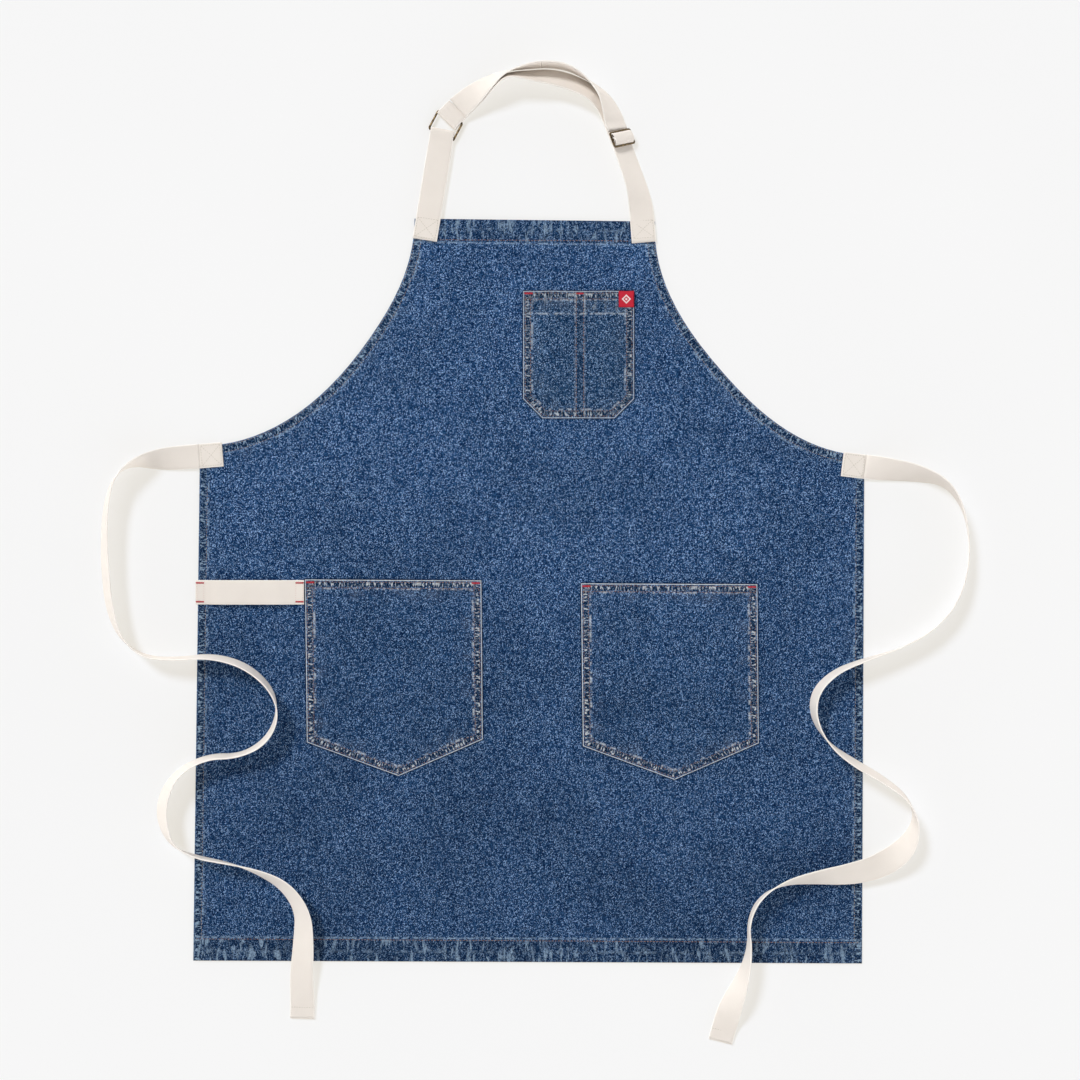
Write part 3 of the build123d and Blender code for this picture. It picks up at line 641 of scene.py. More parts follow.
def pocket_lift(name, x, y):
    """How far the pocket's cloth stands off the panel: nothing at its seams, most at its open mouth."""
    line = pocket_lines[name]
    points = np.stack([x, y], axis=1)
    seam, along = nearest(points, line)
    if name == "chest":
        middle = np.abs(x - sum(divider) / 2)
        seam = np.minimum(seam, np.maximum(middle - 3, 0) + 2)
    below = line[0][1] - y
    rise = smooth(seam, 8, 34) * (0.45 + 0.55 * np.exp(-below / 55))
    puff = 0.45 * smooth(seam, 2.2, 4) * (1 - smooth(seam, 5, POCKET_INNER_ROW))
    press = 0.22 * np.exp(-(((seam - POCKET_EDGE_ROW) / 0.8) ** 2))
    press = press + 0.25 * np.exp(-(((seam - POCKET_INNER_ROW) / 0.9) ** 2))
    uneven = 0.22 * ripple(along, 8.5, 31) * (1 - smooth(seam, 9, 15))
    uneven = uneven + 0.3 * waves(x, y, 42, 12) * smooth(seam, 9, 22)
    return GAPE[name] * rise + 0.25 + puff - 0.6 * press + uneven


def pocket_top(name):
    return lambda x, y: panel_top(x, y) + DENIM + 0.1 + pocket_lift(name, x, y)


def pocket_bottom(name):
    return lambda x, y: panel_top(x, y) + 0.05 + np.maximum(pocket_lift(name, x, y) - 0.2, 0)


def pocket_values(name):
    line = pocket_lines[name]
    mouth = np.array([line[-1], line[0]])

    def values(points, far):
        seam, along = nearest(points, line)
        top, across = nearest(points, mouth)
        chest = name == "chest"
        return {"edge_d": np.minimum(seam, top), "edge_s": np.where(seam < top, along, across + 600),
                "hem_d": top if chest else top + 60, "hem_s": points[:, 0], "pocket_d": 50 + 0 * far,
                "rib_d": np.abs(points[:, 0] - sum(divider) / 2) if chest else 50 + 0 * far}

    return values


for name, line in pocket_lines.items():
    rows = [shifted(line, depth, False) for depth in (6.0, POCKET_INNER_ROW, 9.6)]
    if name == "chest":
        for x in (divider[0] - 1.5, divider[0], divider[1], divider[1] + 1.5):
            rows.append(np.array([(x, 230.0), (x, 103.0)]))
    pocket = cloth(name + "_pocket_cloth", line, pocket_top(name), pocket_bottom(name), 4.0, (0.3, 0.8, 1.5, 3.0, 4.8),
                   lines=rows, values=pocket_values(name))
    node = name + "_pocket"
    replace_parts(pocket, node)
    pieces[node] = pocket
    outlines[node] = line
    left, right, mouth = line[0][0], line[-1][0], line[0][1] - 1.4
    bays = [(left + 12, right - 12)] if name != "chest" else [(left + 12, divider[0] - 4), (divider[1] + 4, right - 17)]
    for k, (a, b) in enumerate(bays):
        outline = np.array([(a, mouth - 8.5), (b, mouth - 8.5), (b, mouth), (a, mouth)])
        under = pocket_bottom(name)
        strip_name = node + "_hem_cloth" + ("_2" if k else "")
        hem = cloth(strip_name, outline, lambda x, y: under(x, y) - 0.03,
                    lambda x, y: np.maximum(under(x, y) - 0.6, panel_top(x, y) + 0.04),
                    5.0, (0.3, 0.8), values=pocket_values(name), rim=0.4)
        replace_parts(hem, node + "_hem")
        pieces[strip_name] = hem
        outlines[strip_name] = outline


# Stitching on the cloth: how much of its pitch a stitch covers
STITCH_SHARE = 0.74


def on_cloth(line, surface, pitch=3.3, seed=0):
    """Stitches along a line in plan, lying on a surface."""
    r = np.random.default_rng(seed)
    places = spaced(line, pitch)
    a = places[:-1] + r.uniform(-0.12, 0.12, (len(places) - 1, 2))
    b = a + (places[1:] - places[:-1]) * STITCH_SHARE
    za, zb = surface(a[:, 0], a[:, 1]), surface(b[:, 0], b[:, 1])
    return [((*p, u), (*q, v), (0, 0, 1)) for p, q, u, v in zip(a, b, za, zb)]


def cut(line, keep):
    """The parts of a line where a test holds, as separate lines."""
    line = spaced(line, 1.0)
    good = keep(line[:, 0], line[:, 1])
    runs, run = [], []
    for point, ok in zip(line, good):
        if ok:
            run.append(point)
        elif run:
            runs.append(run)
            run = []
    return [np.array(r) for r in [*runs, run] if len(r) > 4]


def bib_hem_y(x):
    return 286.8 + (x + 93) * (285.6 - 286.8) / 197


armhole_lines = []
for arm in (left_armhole, right_armhole):
    for depth in (EDGE_ROW, INNER_ROW):
        armhole_lines += cut(shifted(spaced(arm, 3.0), depth, False),
                             lambda x, y: (y < bib_hem_y(x)) & (x > -317) & (x < 325))
side_lines = []
for line in (np.array([LEFT_SHOULDER, BOTTOM_LEFT], float), np.array([BOTTOM_RIGHT, RIGHT_SHOULDER], float)):
    side_lines += cut(shifted(line, INNER_ROW, False),
                      lambda x, y: (y > -440) & (y < 30) & ((x > 0) | (np.abs(y - LOOP_Y) > 14)))
stitch_rows = {
    "armhole_stitches": (armhole_lines, panel_top),
    "side_hem_stitches": (side_lines, panel_top),
    "bib_hem_stitches": ([np.array([(-93, 286.8), (104, 285.6)])], panel_top),
    "bottom_hem_stitches": ([np.array([(-346, -439.2), (343, -443.2)])], panel_top),
}
for name, line in pocket_lines.items():
    rows = [shifted(line, depth, False) for depth in (POCKET_EDGE_ROW, POCKET_INNER_ROW)]
    for row in rows:
        row[0][1] -= 1.5
        row[-1][1] -= 1.5
    right = line[-1][0] - (17 if name == "chest" else 1.5)
    for depth in (2.3, POCKET_HEM):
        rows.append(np.array([(line[0][0] + 1.5, line[0][1] - depth), (right, line[-1][1] - depth)]))
    if name == "chest":
        rows += [np.array([(x, 231.5), (x, 103)]) for x in divider]
    stitch_rows[name + "_pocket_stitches"] = (rows, pocket_top(name))
for node, (lines, surface) in stitch_rows.items():
    sewn = threads(node + "_thread", [s for k, line in enumerate(lines) for s in on_cloth(line, surface, seed=k)])
    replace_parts(sewn, node)
    pieces[node] = sewn

# Rows on the underside of the hems, where the same seams come through
under_lines = armhole_lines + side_lines + stitch_rows["bib_hem_stitches"][0] + stitch_rows["bottom_hem_stitches"][0]
under = []
for k, line in enumerate(under_lines):
    for a, b, lift in on_cloth(line, lambda x, y: 0 * x + 0.34, seed=k):
        under.append((a, b, (0, 0, -1)))
pieces["underside"] = threads("underside_hem_thread", under, height=0.3)


# Bartacks: short dense rows of red thread
def bartack(x, y, surface, width=8.0, height=2.4, count=15):
    z = float(surface(np.array([x]), np.array([y]))[0])
    made = []
    for k in range(count):
        u = -width / 2 + width * k / (count - 1)
        lean = 0.25 if k % 2 else -0.25
        reach = height / 2 * (1 + 0.1 * math.sin(2.3 * k))
        made.append(((x + u - lean, y - reach, z), (x + u + lean, y + reach, z), (0, 0, 1)))
    return made


tacks = {
    "left_pocket": [(-227.1, -69.0), (-55.1, -69.8)],
    "right_pocket": [(59.5, -73.0), (231.5, -73.8)],
    "chest_pocket": [(-0.5, 231.0), (sum(divider) / 2, 231.0)],
}
for node, places in tacks.items():
    name = node.split("_")[0]
    lines = [s for x, y in places for s in bartack(x, y, pocket_top(name))]
    sewn = threads(node + "_bartack_thread", lines, width=0.62, height=0.6)
    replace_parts(sewn, node + "_bartacks")
    pieces[node + "_bartacks"] = sewn

# Label: plain woven red, folded into the seam at the pocket's top right corner
label_outline = np.array([(93.0, 216.5), (109.0, 216.5), (109.0, 233.5), (93.0, 233.5)])
label_middle = label_outline.mean(0)


def label_top(x, y):
    return pocket_top("chest")(np.clip(x, 94, 104), np.clip(y, 220, 232)) + 0.75


def label_values(points, far):
    return {"label_x": points[:, 0] - label_middle[0], "label_y": points[:, 1] - label_middle[1], "label_d": far}


label = cloth("pocket_label_cloth", label_outline, label_top, lambda x, y: label_top(x, y) - 0.5, 1.0, (0.15, 0.4, 0.8),
              rim=0.25, values=label_values)
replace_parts(label, "pocket_label")
pieces["pocket_label"] = label
outlines["pocket_label"] = label_outline

# Towel loop
loop_x = np.linspace(-346, -233.6, 66)
arch = smooth(loop_x, -338, -318) * (1 - smooth(loop_x, -262, -242))
loop_z = panel_top(loop_x, 0 * loop_x + LOOP_Y) * (1 - arch) + TOP * arch + 0.75 + 3.6 * arch
towel_loop = strip("towel_loop_webbing", np.stack([loop_x, 0 * loop_x + LOOP_Y, loop_z], axis=1),
                   [(0, WIDTH / 2, 0)] * len(loop_x), uneven=0.04)
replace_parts(towel_loop, "towel_loop")
loop_tacks = []
for x in (-341.5, -238.1):
    for y in (LOOP_Y - 9.8, LOOP_Y + 9.8):
        z = float(np.interp(x, loop_x, loop_z)) + WEB / 2
        loop_tacks += bartack(x, y, lambda a, b: np.array([z]), 7.8, 2.1, 16)
loop_sewn = threads("towel_loop_bartack_thread", loop_tacks, width=0.62, height=0.55)
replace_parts(loop_sewn, "towel_loop_bartacks")
dotted = []
for x in (-337.4, -344.6, -234.8, -242.0):
    z = float(np.interp(x, loop_x, loop_z)) + WEB / 2
    dotted += [((x, y, z), (x, y + 1.1, z), (0, 0, 1)) for y in np.arange(LOOP_Y - 8.4, LOOP_Y + 8.0, 2.3)]
loop_dots = threads("towel_loop_end_thread", dotted, width=0.4, height=0.25)

# Neck strap anchor, doubled through the ring
ANCHOR_START = np.array([-108.2, 286.5])
RING_BAR = np.array([-91.5, 395.5])
RING_REACH = 21.3
RING_HEIGHT = TOP + WEB
FOLD = 24.6
BAR_PLAY = 0.25
WRAP = 1.1 + BAR_PLAY + WEB / 2


def level(degrees, size=1):
    """A level vector in a direction."""
    return np.array([math.cos(math.radians(degrees)), math.sin(math.radians(degrees)), 0]) * size


# A half turn round a bar of the ring, as (outward, upward) pairs from below it to above it
HALF_TURN = [(WRAP * math.cos(t), WRAP * math.sin(t)) for t in np.linspace(-math.pi / 2, math.pi / 2, 13)][1:-1]
anchor_way = heading(ANCHOR_START, RING_BAR)
anchor_side = np.array([-anchor_way[1], anchor_way[0], 0]) * WIDTH / 2
ring_way = level(62)
UPPER_BAR = RING_BAR + RING_REACH * ring_way[:2]

# The webbing's folds lie a little askew of the ring's bars, which pass through them
anchor_fold = -level(-10, FOLD / 2)
anchor_out = level(80)
anchor_turn = RING_BAR + ring_way[:2] * 3.6
reach = np.linalg.norm(anchor_turn - ANCHOR_START)
turn_way = heading(ANCHOR_START, anchor_turn)


def anchor_point(u, z):
    """A centre and half width on the anchor, so far along it."""
    share = smooth(u, 84, reach)
    centre = place(ANCHOR_START, turn_way, u, 0, z)
    return centre, anchor_side * (1 - share) + anchor_fold * share


anchor = []
lower = TOP + WEB / 2
for u in np.linspace(0, reach, 40):
    anchor.append(anchor_point(u, lower - 0.02 - (lower - RING_HEIGHT + WRAP) * smooth(u, reach - 9, reach - 4)))
for u, v in HALF_TURN:
    anchor.append((np.array([*anchor_turn, RING_HEIGHT + v]) + anchor_out * u, anchor_fold))
for u in np.linspace(reach, 0, 40):
    climb = (RING_HEIGHT + WRAP - lower - WEB) * smooth(u, reach - 9, reach - 4)
    anchor.append(anchor_point(u, lower + WEB + 0.03 + climb))
anchor_strap = strip("neck_strap_anchor_webbing", [p[0] for p in anchor], [p[1] for p in anchor], uneven=0.05)
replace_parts(anchor_strap, "neck_strap_anchor")

# The strap folded round the ring's upper bar
neck_way = level(46)
FOLD_TAIL = 11.1
neck_side = level(-44, WIDTH / 2)
fold_back = 4.4
ring_fold = []
for u in np.linspace(FOLD_TAIL, -fold_back, 14):
    z = RING_HEIGHT - WRAP + (WRAP - WEB / 2) * smooth(u, 3, 10)
    ring_fold.append((place(UPPER_BAR, neck_way, u, 0, z), neck_side))
for u, v in HALF_TURN:
    ring_fold.append((place(UPPER_BAR, neck_way, -fold_back - u, 0, RING_HEIGHT + v), neck_side))
for u in np.linspace(-fold_back, FOLD_TAIL, 14):
    z = RING_HEIGHT + WRAP - (WRAP - WEB / 2) * smooth(u, 3, 10)
    ring_fold.append((place(UPPER_BAR, neck_way, u, 0, z), neck_side))
ring_strap = strip("neck_strap_ring_fold_webbing", [p[0] for p in ring_fold], [p[1] for p in ring_fold], uneven=0)
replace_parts(ring_strap, "neck_strap_ring_fold")

# The long neck strap and its return layer: x, y, height of the lowest edge, roll
NECK_STRAP = [
    (119.4, 284, TOP, 0), (117.3, 311, TOP, 0), (115.5, 325, 1, 12), (110.5, 346, 0.3, 33), (84.5, 415.5, 0.3, 33),
    (74, 431, 0.3, 36), (62, 440.2, 0.3, 41), (40.5, 449.8, 0.3, 36), (21, 454.4, 0.3, 39), (2, 454.9, 0.3, 51),
    (-12, 456, 0.3, 62), (-25.2, 454.7, 0.3, 68), (-39.5, 447.6, 0.3, 50), (-56.6, 436, 0.3, 20), (-73.5, 422, 1.9, 3),
]
NECK_RETURN = [
    (-74, 422.5, 3.9, 0), (-57, 437, 2.3, 20), (-40.7, 449.2, 1.5, 50), (-26, 458.6, 0.3, 70), (0, 464.5, 0.3, 88),
    (20, 466.3, 0.3, 90), (40, 463.3, 0.3, 89), (56, 454.2, 0.3, 84), (67, 445.4, 0.6, 73), (78.5, 433.6, 1.4, 59),
    (86.2, 416, 2.1, 38), (87.9, 409.6, 2.06, 33),
]
line, halves = rolled(NECK_STRAP, 1)
neck_strap = strip("neck_strap_webbing", line, halves, seed=4, uneven=0.08)
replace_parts(neck_strap, "neck_strap")

# Slider: the strap's sewn end round the centre bar, and the strap threaded over it
start, end = np.array(NECK_STRAP[3][:2]), np.array(NECK_STRAP[4][:2])
strap_way = heading(start, end)
tilt = math.radians(NECK_STRAP[3][3])
strap_side = np.array([-strap_way[1], strap_way[0], 0]) * math.cos(tilt) + np.array([0, 0, math.sin(tilt)])
strap_up = np.cross(strap_way, strap_side)
SLIDER_PLACE = 46.5  # along the strap's straight stretch
SLIDER_LIFT = 4.1
strap_height = TABLE + WIDTH / 2 * math.sin(tilt) + WEB / 2 * math.cos(tilt)
middle = place(start, strap_way, SLIDER_PLACE, 0, strap_height) + strap_up * SLIDER_LIFT


def at_slider(u, v):
    return middle + strap_way * u + strap_up * v


LOOP = 0.95 + BAR_PLAY + WEB / 2
END_TAIL = 9.2
line, halves = rolled(NECK_RETURN, -1)
hidden = [at_slider(u, -LOOP - 0.72 * smooth(u, 8, 21.3)) for u in (18.5, 15.5, 12.5, END_TAIL + 0.2)]
line = np.vstack([line, hidden])
halves = np.vstack([halves, [halves[-1]] * len(hidden)])
crown = int(np.abs(line[:, 0] - 12).argmin())
return_ring = strip("neck_strap_return_webbing_1", line[: crown + 1], halves[: crown + 1], seed=5, uneven=0.08)
return_slider = strip("neck_strap_return_webbing_2", line[crown:], halves[crown:], seed=6, uneven=0.08)
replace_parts(return_ring, "neck_strap_return")
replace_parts(return_slider, "neck_strap_return")

end_path = [at_slider(u, -LOOP) for u in np.linspace(END_TAIL, 0.4, 9)]
end_path += [at_slider(LOOP * math.cos(t), LOOP * math.sin(t)) for t in np.linspace(-math.pi / 2, -math.pi * 2, 19)]
end_loop = strip("neck_strap_end_loop_webbing", end_path, [strap_side * FOLD / 2] * len(end_path), thick=WEB * 0.92,
                 uneven=0)
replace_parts(end_loop, "neck_strap_end_loop")
over_path = [at_slider(-6.7, -3.7), at_slider(-6.3, -2.9), at_slider(-6.0, -2.0), at_slider(-5.9, -1.0)]
over_path += [at_slider(-5.9 * math.cos(t), 3.6 * math.sin(t) ** 0.8) for t in np.linspace(0, math.pi, 21)]
over_path += [at_slider(5.95, -0.5), at_slider(6.0, -0.95)]
over_bar = strip("neck_strap_over_bar_webbing", over_path, [strap_side * FOLD / 2] * len(over_path), thick=WEB * 0.96,
                 uneven=0.02)
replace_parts(over_bar, "neck_strap_over_bar")


# Sewn squares with a cross in them, where webbing is sewn to the apron
def box_rows(centre, way, length, height):
    a, b = length / 2 - 2, WIDTH / 2 - 2
    corners = [place(centre, way, u, v, height)[:2] for u, v in ((a, b), (a, -b), (-a, -b), (-a, b))]
    lines = [np.array([p, q]) for p, q in zip(corners, corners[1:] + corners[:1])]
    lines += [np.array([corners[0], corners[2]]), np.array([corners[1], corners[3]])]
    made = []
    for k, line in enumerate(lines):
        made += on_cloth(line, lambda x, y: 0 * x + height, pitch=2.6, seed=k)
    return made


left_way = heading(LEFT_TIE[1], LEFT_TIE[0])
right_way = heading(RIGHT_TIE[1], RIGHT_TIE[0])
neck_end_way = heading(NECK_STRAP[0], NECK_STRAP[1])
boxes = {
    "neck_anchor": (place(ANCHOR_START, anchor_way, 12), anchor_way, 24, TOP + 2 * WEB + 0.03),
    "neck_strap": ((118.35, 297.5), neck_end_way, 22, TOP + WEB),
    "left_tie": (place(LEFT_TIE[0], left_way, 12), left_way, 24, TOP + WEB),
    "right_tie": (place(RIGHT_TIE[0], right_way, 12), right_way, 24, TOP + WEB),
}
for name, (centre, way, length, height) in boxes.items():
    sewn = threads(name + "_box_thread", box_rows(centre, way, length, height), width=0.5, height=0.3)
    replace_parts(sewn, name + "_box_stitches")
    pieces[name + "_box"] = sewn


# Materials
class Value:
    """One output in a material's node tree, which can be worked with in the usual signs."""

    def __init__(self, nodes, socket):
        self.nodes, self.socket = nodes, socket

    def __add__(self, other):
        return self.nodes.math("ADD", self, other)

    def __sub__(self, other):
        return self.nodes.math("SUBTRACT", self, other)

    def __rsub__(self, other):
        return self.nodes.math("SUBTRACT", other, self)

    def __mul__(self, other):
        return self.nodes.math("MULTIPLY", self, other)


class Nodes:
    """A material built from nodes, with distances in millimetres."""

    def __init__(self, name):
        self.material = bpy.data.materials.new(name)
        self.material.use_nodes = True
        self.tree = self.material.node_tree
        self.tree.nodes.clear()
        place = self.output("ShaderNodeTexCoord", "Object")
        self.place = self.output("ShaderNodeVectorMath", 0, {"operation": "SCALE"}, Vector=place, Scale=1 / MM)

    def add(self, kind, settings=None, **inputs):
        node = self.tree.nodes.new(kind)
        for key, value in (settings or {}).items():
            setattr(node, key, value)
        for key, value in inputs.items():
            self.feed(node.inputs[key.replace("_", " ")], value)
        return node

    def output(self, kind, key, settings=None, **inputs):
        return Value(self, self.add(kind, settings, **inputs).outputs[key])

    def feed(self, socket, value):
        if isinstance(value, Value):
            self.tree.links.new(value.socket, socket)
        else:
            socket.default_value = value

    def math(self, operation, *values):
        node = self.add("ShaderNodeMath", {"operation": operation})
        for socket, value in zip(node.inputs, values):
            self.feed(socket, value)
        return Value(self, node.outputs[0])

    def most(self, first, *others):
        for other in others:
            first = self.math("MAXIMUM", first, other)
        return first

    def ramp(self, value, low, high, at_low=0.0, at_high=1.0):
        node = self.add("ShaderNodeMapRange", {"interpolation_type": "SMOOTHSTEP"})
        for socket, v in zip(node.inputs, (value, low, high, at_low, at_high)):
            self.feed(socket, v)
        return Value(self, node.outputs[0])

    def span(self, value, a, b, c, d):
        """1 between b and c, falling to 0 at a and d."""
        return self.ramp(value, a, b) * self.ramp(value, c, d, 1.0, 0.0)

    def attribute(self, name):
        return self.output("ShaderNodeAttribute", "Fac", {"attribute_name": name})

    def level(self):
        """The place's X and Y."""
        node = self.add("ShaderNodeSeparateXYZ", Vector=self.place)
        return Value(self, node.outputs[0]), Value(self, node.outputs[1])

    def vector(self, x, y, z=0.0):
        return self.output("ShaderNodeCombineXYZ", 0, X=x, Y=y, Z=z)

    def noise(self, size, vector=None, detail=2.0, rough=0.5, stretch=None, turn=0.0, distort=0.0):
        vector = vector or self.place
        if stretch:
            turned = (0, 0, math.radians(turn))
            vector = self.output("ShaderNodeMapping", 0, Vector=vector, Rotation=turned, Scale=stretch)
        how = {"Scale": 1.0 / size, "Detail": detail, "Roughness": rough, "Distortion": distort}
        return self.output("ShaderNodeTexNoise", "Fac", Vector=vector, **how)

    def uneven(self, size, **how):
        """Noise from -1 to 1, mostly at its ends."""
        return self.ramp(self.noise(size, **how), 0.3, 0.7, -1.0, 1.0)

    def mix(self, factor, a, b, blend="MIX"):
        node = self.add("ShaderNodeMix", {"data_type": "RGBA", "blend_type": blend})
        for k, value in ((0, factor), (6, a), (7, b)):
            self.feed(node.inputs[k], value)
        return Value(self, node.outputs[2])

    def shade(self, colour, roughness=0.85, height=None, depth=0.3, strength=0.6, specular=0.25, metallic=0.0,
              sheen=0.0):
        """The finished surface: depth is the bump's height in millimetres."""
        surface = self.add("ShaderNodeBsdfPrincipled", Base_Color=colour, Roughness=roughness, Metallic=metallic,
                           Specular_IOR_Level=specular, Sheen_Weight=sheen, Sheen_Roughness=0.6)
        if height is not None:
            bump = self.output("ShaderNodeBump", 0, Height=height, Distance=depth * MM, Strength=strength)
            self.feed(surface.inputs["Normal"], bump)
        self.add("ShaderNodeOutputMaterial", Surface=Value(self, surface.outputs[0]))
        return self.material


def denim(name, grain, worn, hem_depth, hem_streak, rows, rim):
    """Washed denim twill: flecked indigo, paler where seams have rubbed and darker between their rows, with painted
    shade darker towards the bottom and a painted shadow round each pocket.
    """
    dark, blue, pale_fleck = grain
    n = Nodes(name)
    cells = n.output("ShaderNodeTexVoronoi", "Color", Vector=n.place, Scale=1 / 0.72)
    slanted = {"stretch": (1.3, 0.55, 1), "detail": 1.0}
    fleck = cells * 0.76 + n.noise(0.9, turn=24, **slanted) * 0.14 + n.noise(0.85, turn=-28, **slanted) * 0.1
    bright = n.ramp(fleck, 0.645, 0.745)
    fleck = n.ramp(fleck, 0.31, 0.69)
    x, y = n.level()
    rib = n.math("SINE", x * 6.6 + y * 4.1 + n.noise(2.6) * 2.0)
    colour = n.mix(fleck + rib * 0.05, dark, blue)
    colour = n.mix(bright, colour, pale_fleck)
    # Darker towards the bottom: painted shade for the light falling off across the apron. The noise and stretched
    # streaks on top are the cloth's own uneven tone.
    shade_and_tone = n.ramp(y, -460.0, 300.0, 0.74, 1.0) + n.uneven(120, detail=1.0) * 0.08 + n.uneven(26) * 0.035
    shade_and_tone = shade_and_tone + n.uneven(2.2, stretch=(1.0, 0.045, 1)) * 0.05
    d, s, hd, hs, gap, rib_d = [n.attribute(key) for key in ("edge_d", "edge_s", "hem_d", "hem_s", "pocket_d", "rib_d")]
    # Seams with two rows: a rubbed outer fold, dark between the rows with pale rungs, a rubbed ridge inside
    first, second = rows
    rub = n.ramp(n.noise(3.4, n.vector(s, d), detail=3.0), 0.36, 0.6)
    outer = n.ramp(d, 0.55, 1.15, 1.0, 0.0) * (rub * (rim * 0.28) + rim * 0.72)
    between = n.span(d, first - 0.3, first + 0.7, second - 1.0, second)
    rung = n.ramp(n.noise(1.0, n.vector(s * 0.46, d * 0.16), detail=1.0, rough=0.6), 0.53, 0.62)
    ridge = n.span(d, second + 0.3, second + 0.9, second + 1.8, second + 3.4)
    ridge = ridge * n.ramp(n.noise(1.0, n.vector(s * 0.24, d * 0.16), detail=3.0), 0.47, 0.62)
    beside = n.span(d, 9.5, 12.0, 15.0, 26.0) * n.ramp(n.noise(1.0, n.vector(s * 0.055, d * 0.03)), 0.45, 0.7)
    # Deep hems: dark with narrow pale streaks across them
    hem = n.ramp(hd, hem_depth - 1.0, hem_depth + 0.4, 1.0, 0.0)
    across = n.vector(hs * 0.2, hd * 0.055, 3.0)
    streak = n.ramp(n.noise(1.0, across, detail=3.0, rough=0.7, distort=0.6), 0.51, 0.64)
    on_hem = n.vector(hs, hd)
    ghost = n.span(hd, 8.5, 9.8, 11.0, 12.5) * n.ramp(n.noise(9.0, on_hem), 0.44, 0.6)
    lip = n.span(hd, hem_depth + 0.4, hem_depth + 0.9, hem_depth + 1.8, hem_depth + 3.4)
    lip = lip * n.ramp(n.noise(5.0, on_hem), 0.4, 0.58)
    # The divider of the chest pocket's bays: darker, with rubbed edges
    divider_share = n.ramp(rib_d, 3.2, 4.0, 1.0, 0.0)
    divider_edge = n.span(rib_d, 4.0, 4.5, 5.2, 6.2) * n.ramp(hd, 20.0, 24.0, 1.0, 0.4) * n.ramp(n.noise(3.0), 0.36,
                                                                                                 0.56)
    dark_share = n.most(between * 0.85, hem * hem_streak, divider_share * 0.4)
    shade_and_tone = shade_and_tone * (1.0 - dark_share * 0.5)
    deep = hem_streak > 0.5
    pale = n.most(outer, between * rung * 0.8, ridge * 0.6, beside * 0.045, hem * streak * (0.62 if deep else 0.25),
                  ghost * (0.3 if deep else 0.0), lip * 0.6, divider_edge * 0.6)
    grit = n.ramp(n.noise(1.7, detail=1.0), 0.34, 0.62, 0.5, 1.0)
    grey = n.output("ShaderNodeCombineColor", 0, Red=shade_and_tone, Green=shade_and_tone, Blue=shade_and_tone)
    colour = n.mix(1.0, colour, grey, "MULTIPLY")
    colour = n.mix(pale * n.most(grit, n.ramp(d, 0.6, 1.2, 0.9, 0.0)), colour, worn)
    # A painted shadow: the dark line round each pocket, where its edge stands on the panel
    shadow = n.ramp(gap, 0.9, 2.0, 1.0, 0.0) * n.ramp(gap, -1.5, -0.5) * 0.6
    colour = n.mix(shadow, colour, linear(12, 22, 44))
    height = fleck * 0.5 + rib * 0.22 + pale * 0.3 + n.noise(7) * 0.8
    rough = n.ramp(n.noise(4.0), 0.3, 0.7, 0.82, 0.95)
    return n.shade(colour, rough, height, depth=0.34, strength=0.75, specular=0.05)


def webbing(name, base, shade, edge):
    """Cream cotton webbing: a fine weave with two firm selvedges, lighter along its edges, partly as a painted
    highlight, and with painted shade in a groove inside them.
    """
    n = Nodes(name)
    a, s = n.attribute("across"), n.attribute("along")
    weft = n.math("SINE", s * (2 * math.pi / 1.05))
    warp = n.math("SINE", a * (2 * math.pi / 0.9) + weft * 0.6)
    weave = weft * warp * 0.5 + 0.5
    fuzz = n.noise(0.7, detail=3.0)
    side = n.math("ABSOLUTE", a)
    factor = weave * 0.22 + fuzz * 0.4 + n.noise(24) * 0.45 - 0.1
    colour = n.mix(n.math("MINIMUM", n.most(factor, 0.0), 1.0), shade, base)
    # Along both edges the colour turns lighter. This is partly the selvedges' firmer weave and partly a painted
    # highlight where the edges catch the light. The groove just inside them is painted shade.
    selvedge_and_highlight = n.ramp(side, 11.5, 12.1)
    shaded_groove = n.span(side, 10.7, 11.0, 11.2, 11.6)
    colour = n.mix(selvedge_and_highlight * 0.7, colour, edge)
    colour = n.mix(shaded_groove * 0.25, colour, shade)
    height = weave * 0.6 + fuzz * 0.35 + selvedge_and_highlight * 0.5 - shaded_groove * 0.4
    rough = n.ramp(fuzz, 0.3, 0.7, 0.82, 0.96)
    return n.shade(colour, rough, height, depth=0.22, strength=0.7, specular=0.12, sheen=0.03)


def thread(name, main, other, gloss=0.55):
    """Twisted sewing thread, a little different from stitch to stitch."""
    n = Nodes(name)
    each = n.noise(1.0, n.vector(n.attribute("number"), 0.0), detail=1.0)
    twist = n.noise(0.25)
    colour = n.mix(n.ramp(each * 0.75 + twist * 0.25, 0.35, 0.65), main, other)
    rough = n.ramp(twist, 0.3, 0.7, gloss, gloss + 0.2)
    return n.shade(colour, rough, twist, depth=0.08, strength=0.6, specular=0.3)


def antique_metal():
    """Dark bronze wire, rubbed a little brighter, with fine scratches."""
    n = Nodes("antique_bronze")
    cloud = n.noise(2.4, detail=4.0)
    scratch = n.noise(0.35, stretch=(1, 0.15, 1), turn=30, detail=3.0)
    colour = n.mix(n.ramp(cloud * 0.7 + scratch * 0.3, 0.35, 0.68), linear(62, 50, 38), linear(150, 130, 98))
    rough = n.ramp(cloud, 0.3, 0.7, 0.28, 0.5)
    return n.shade(colour, rough, cloud + scratch, depth=0.05, strength=0.4, specular=0.5, metallic=1.0)


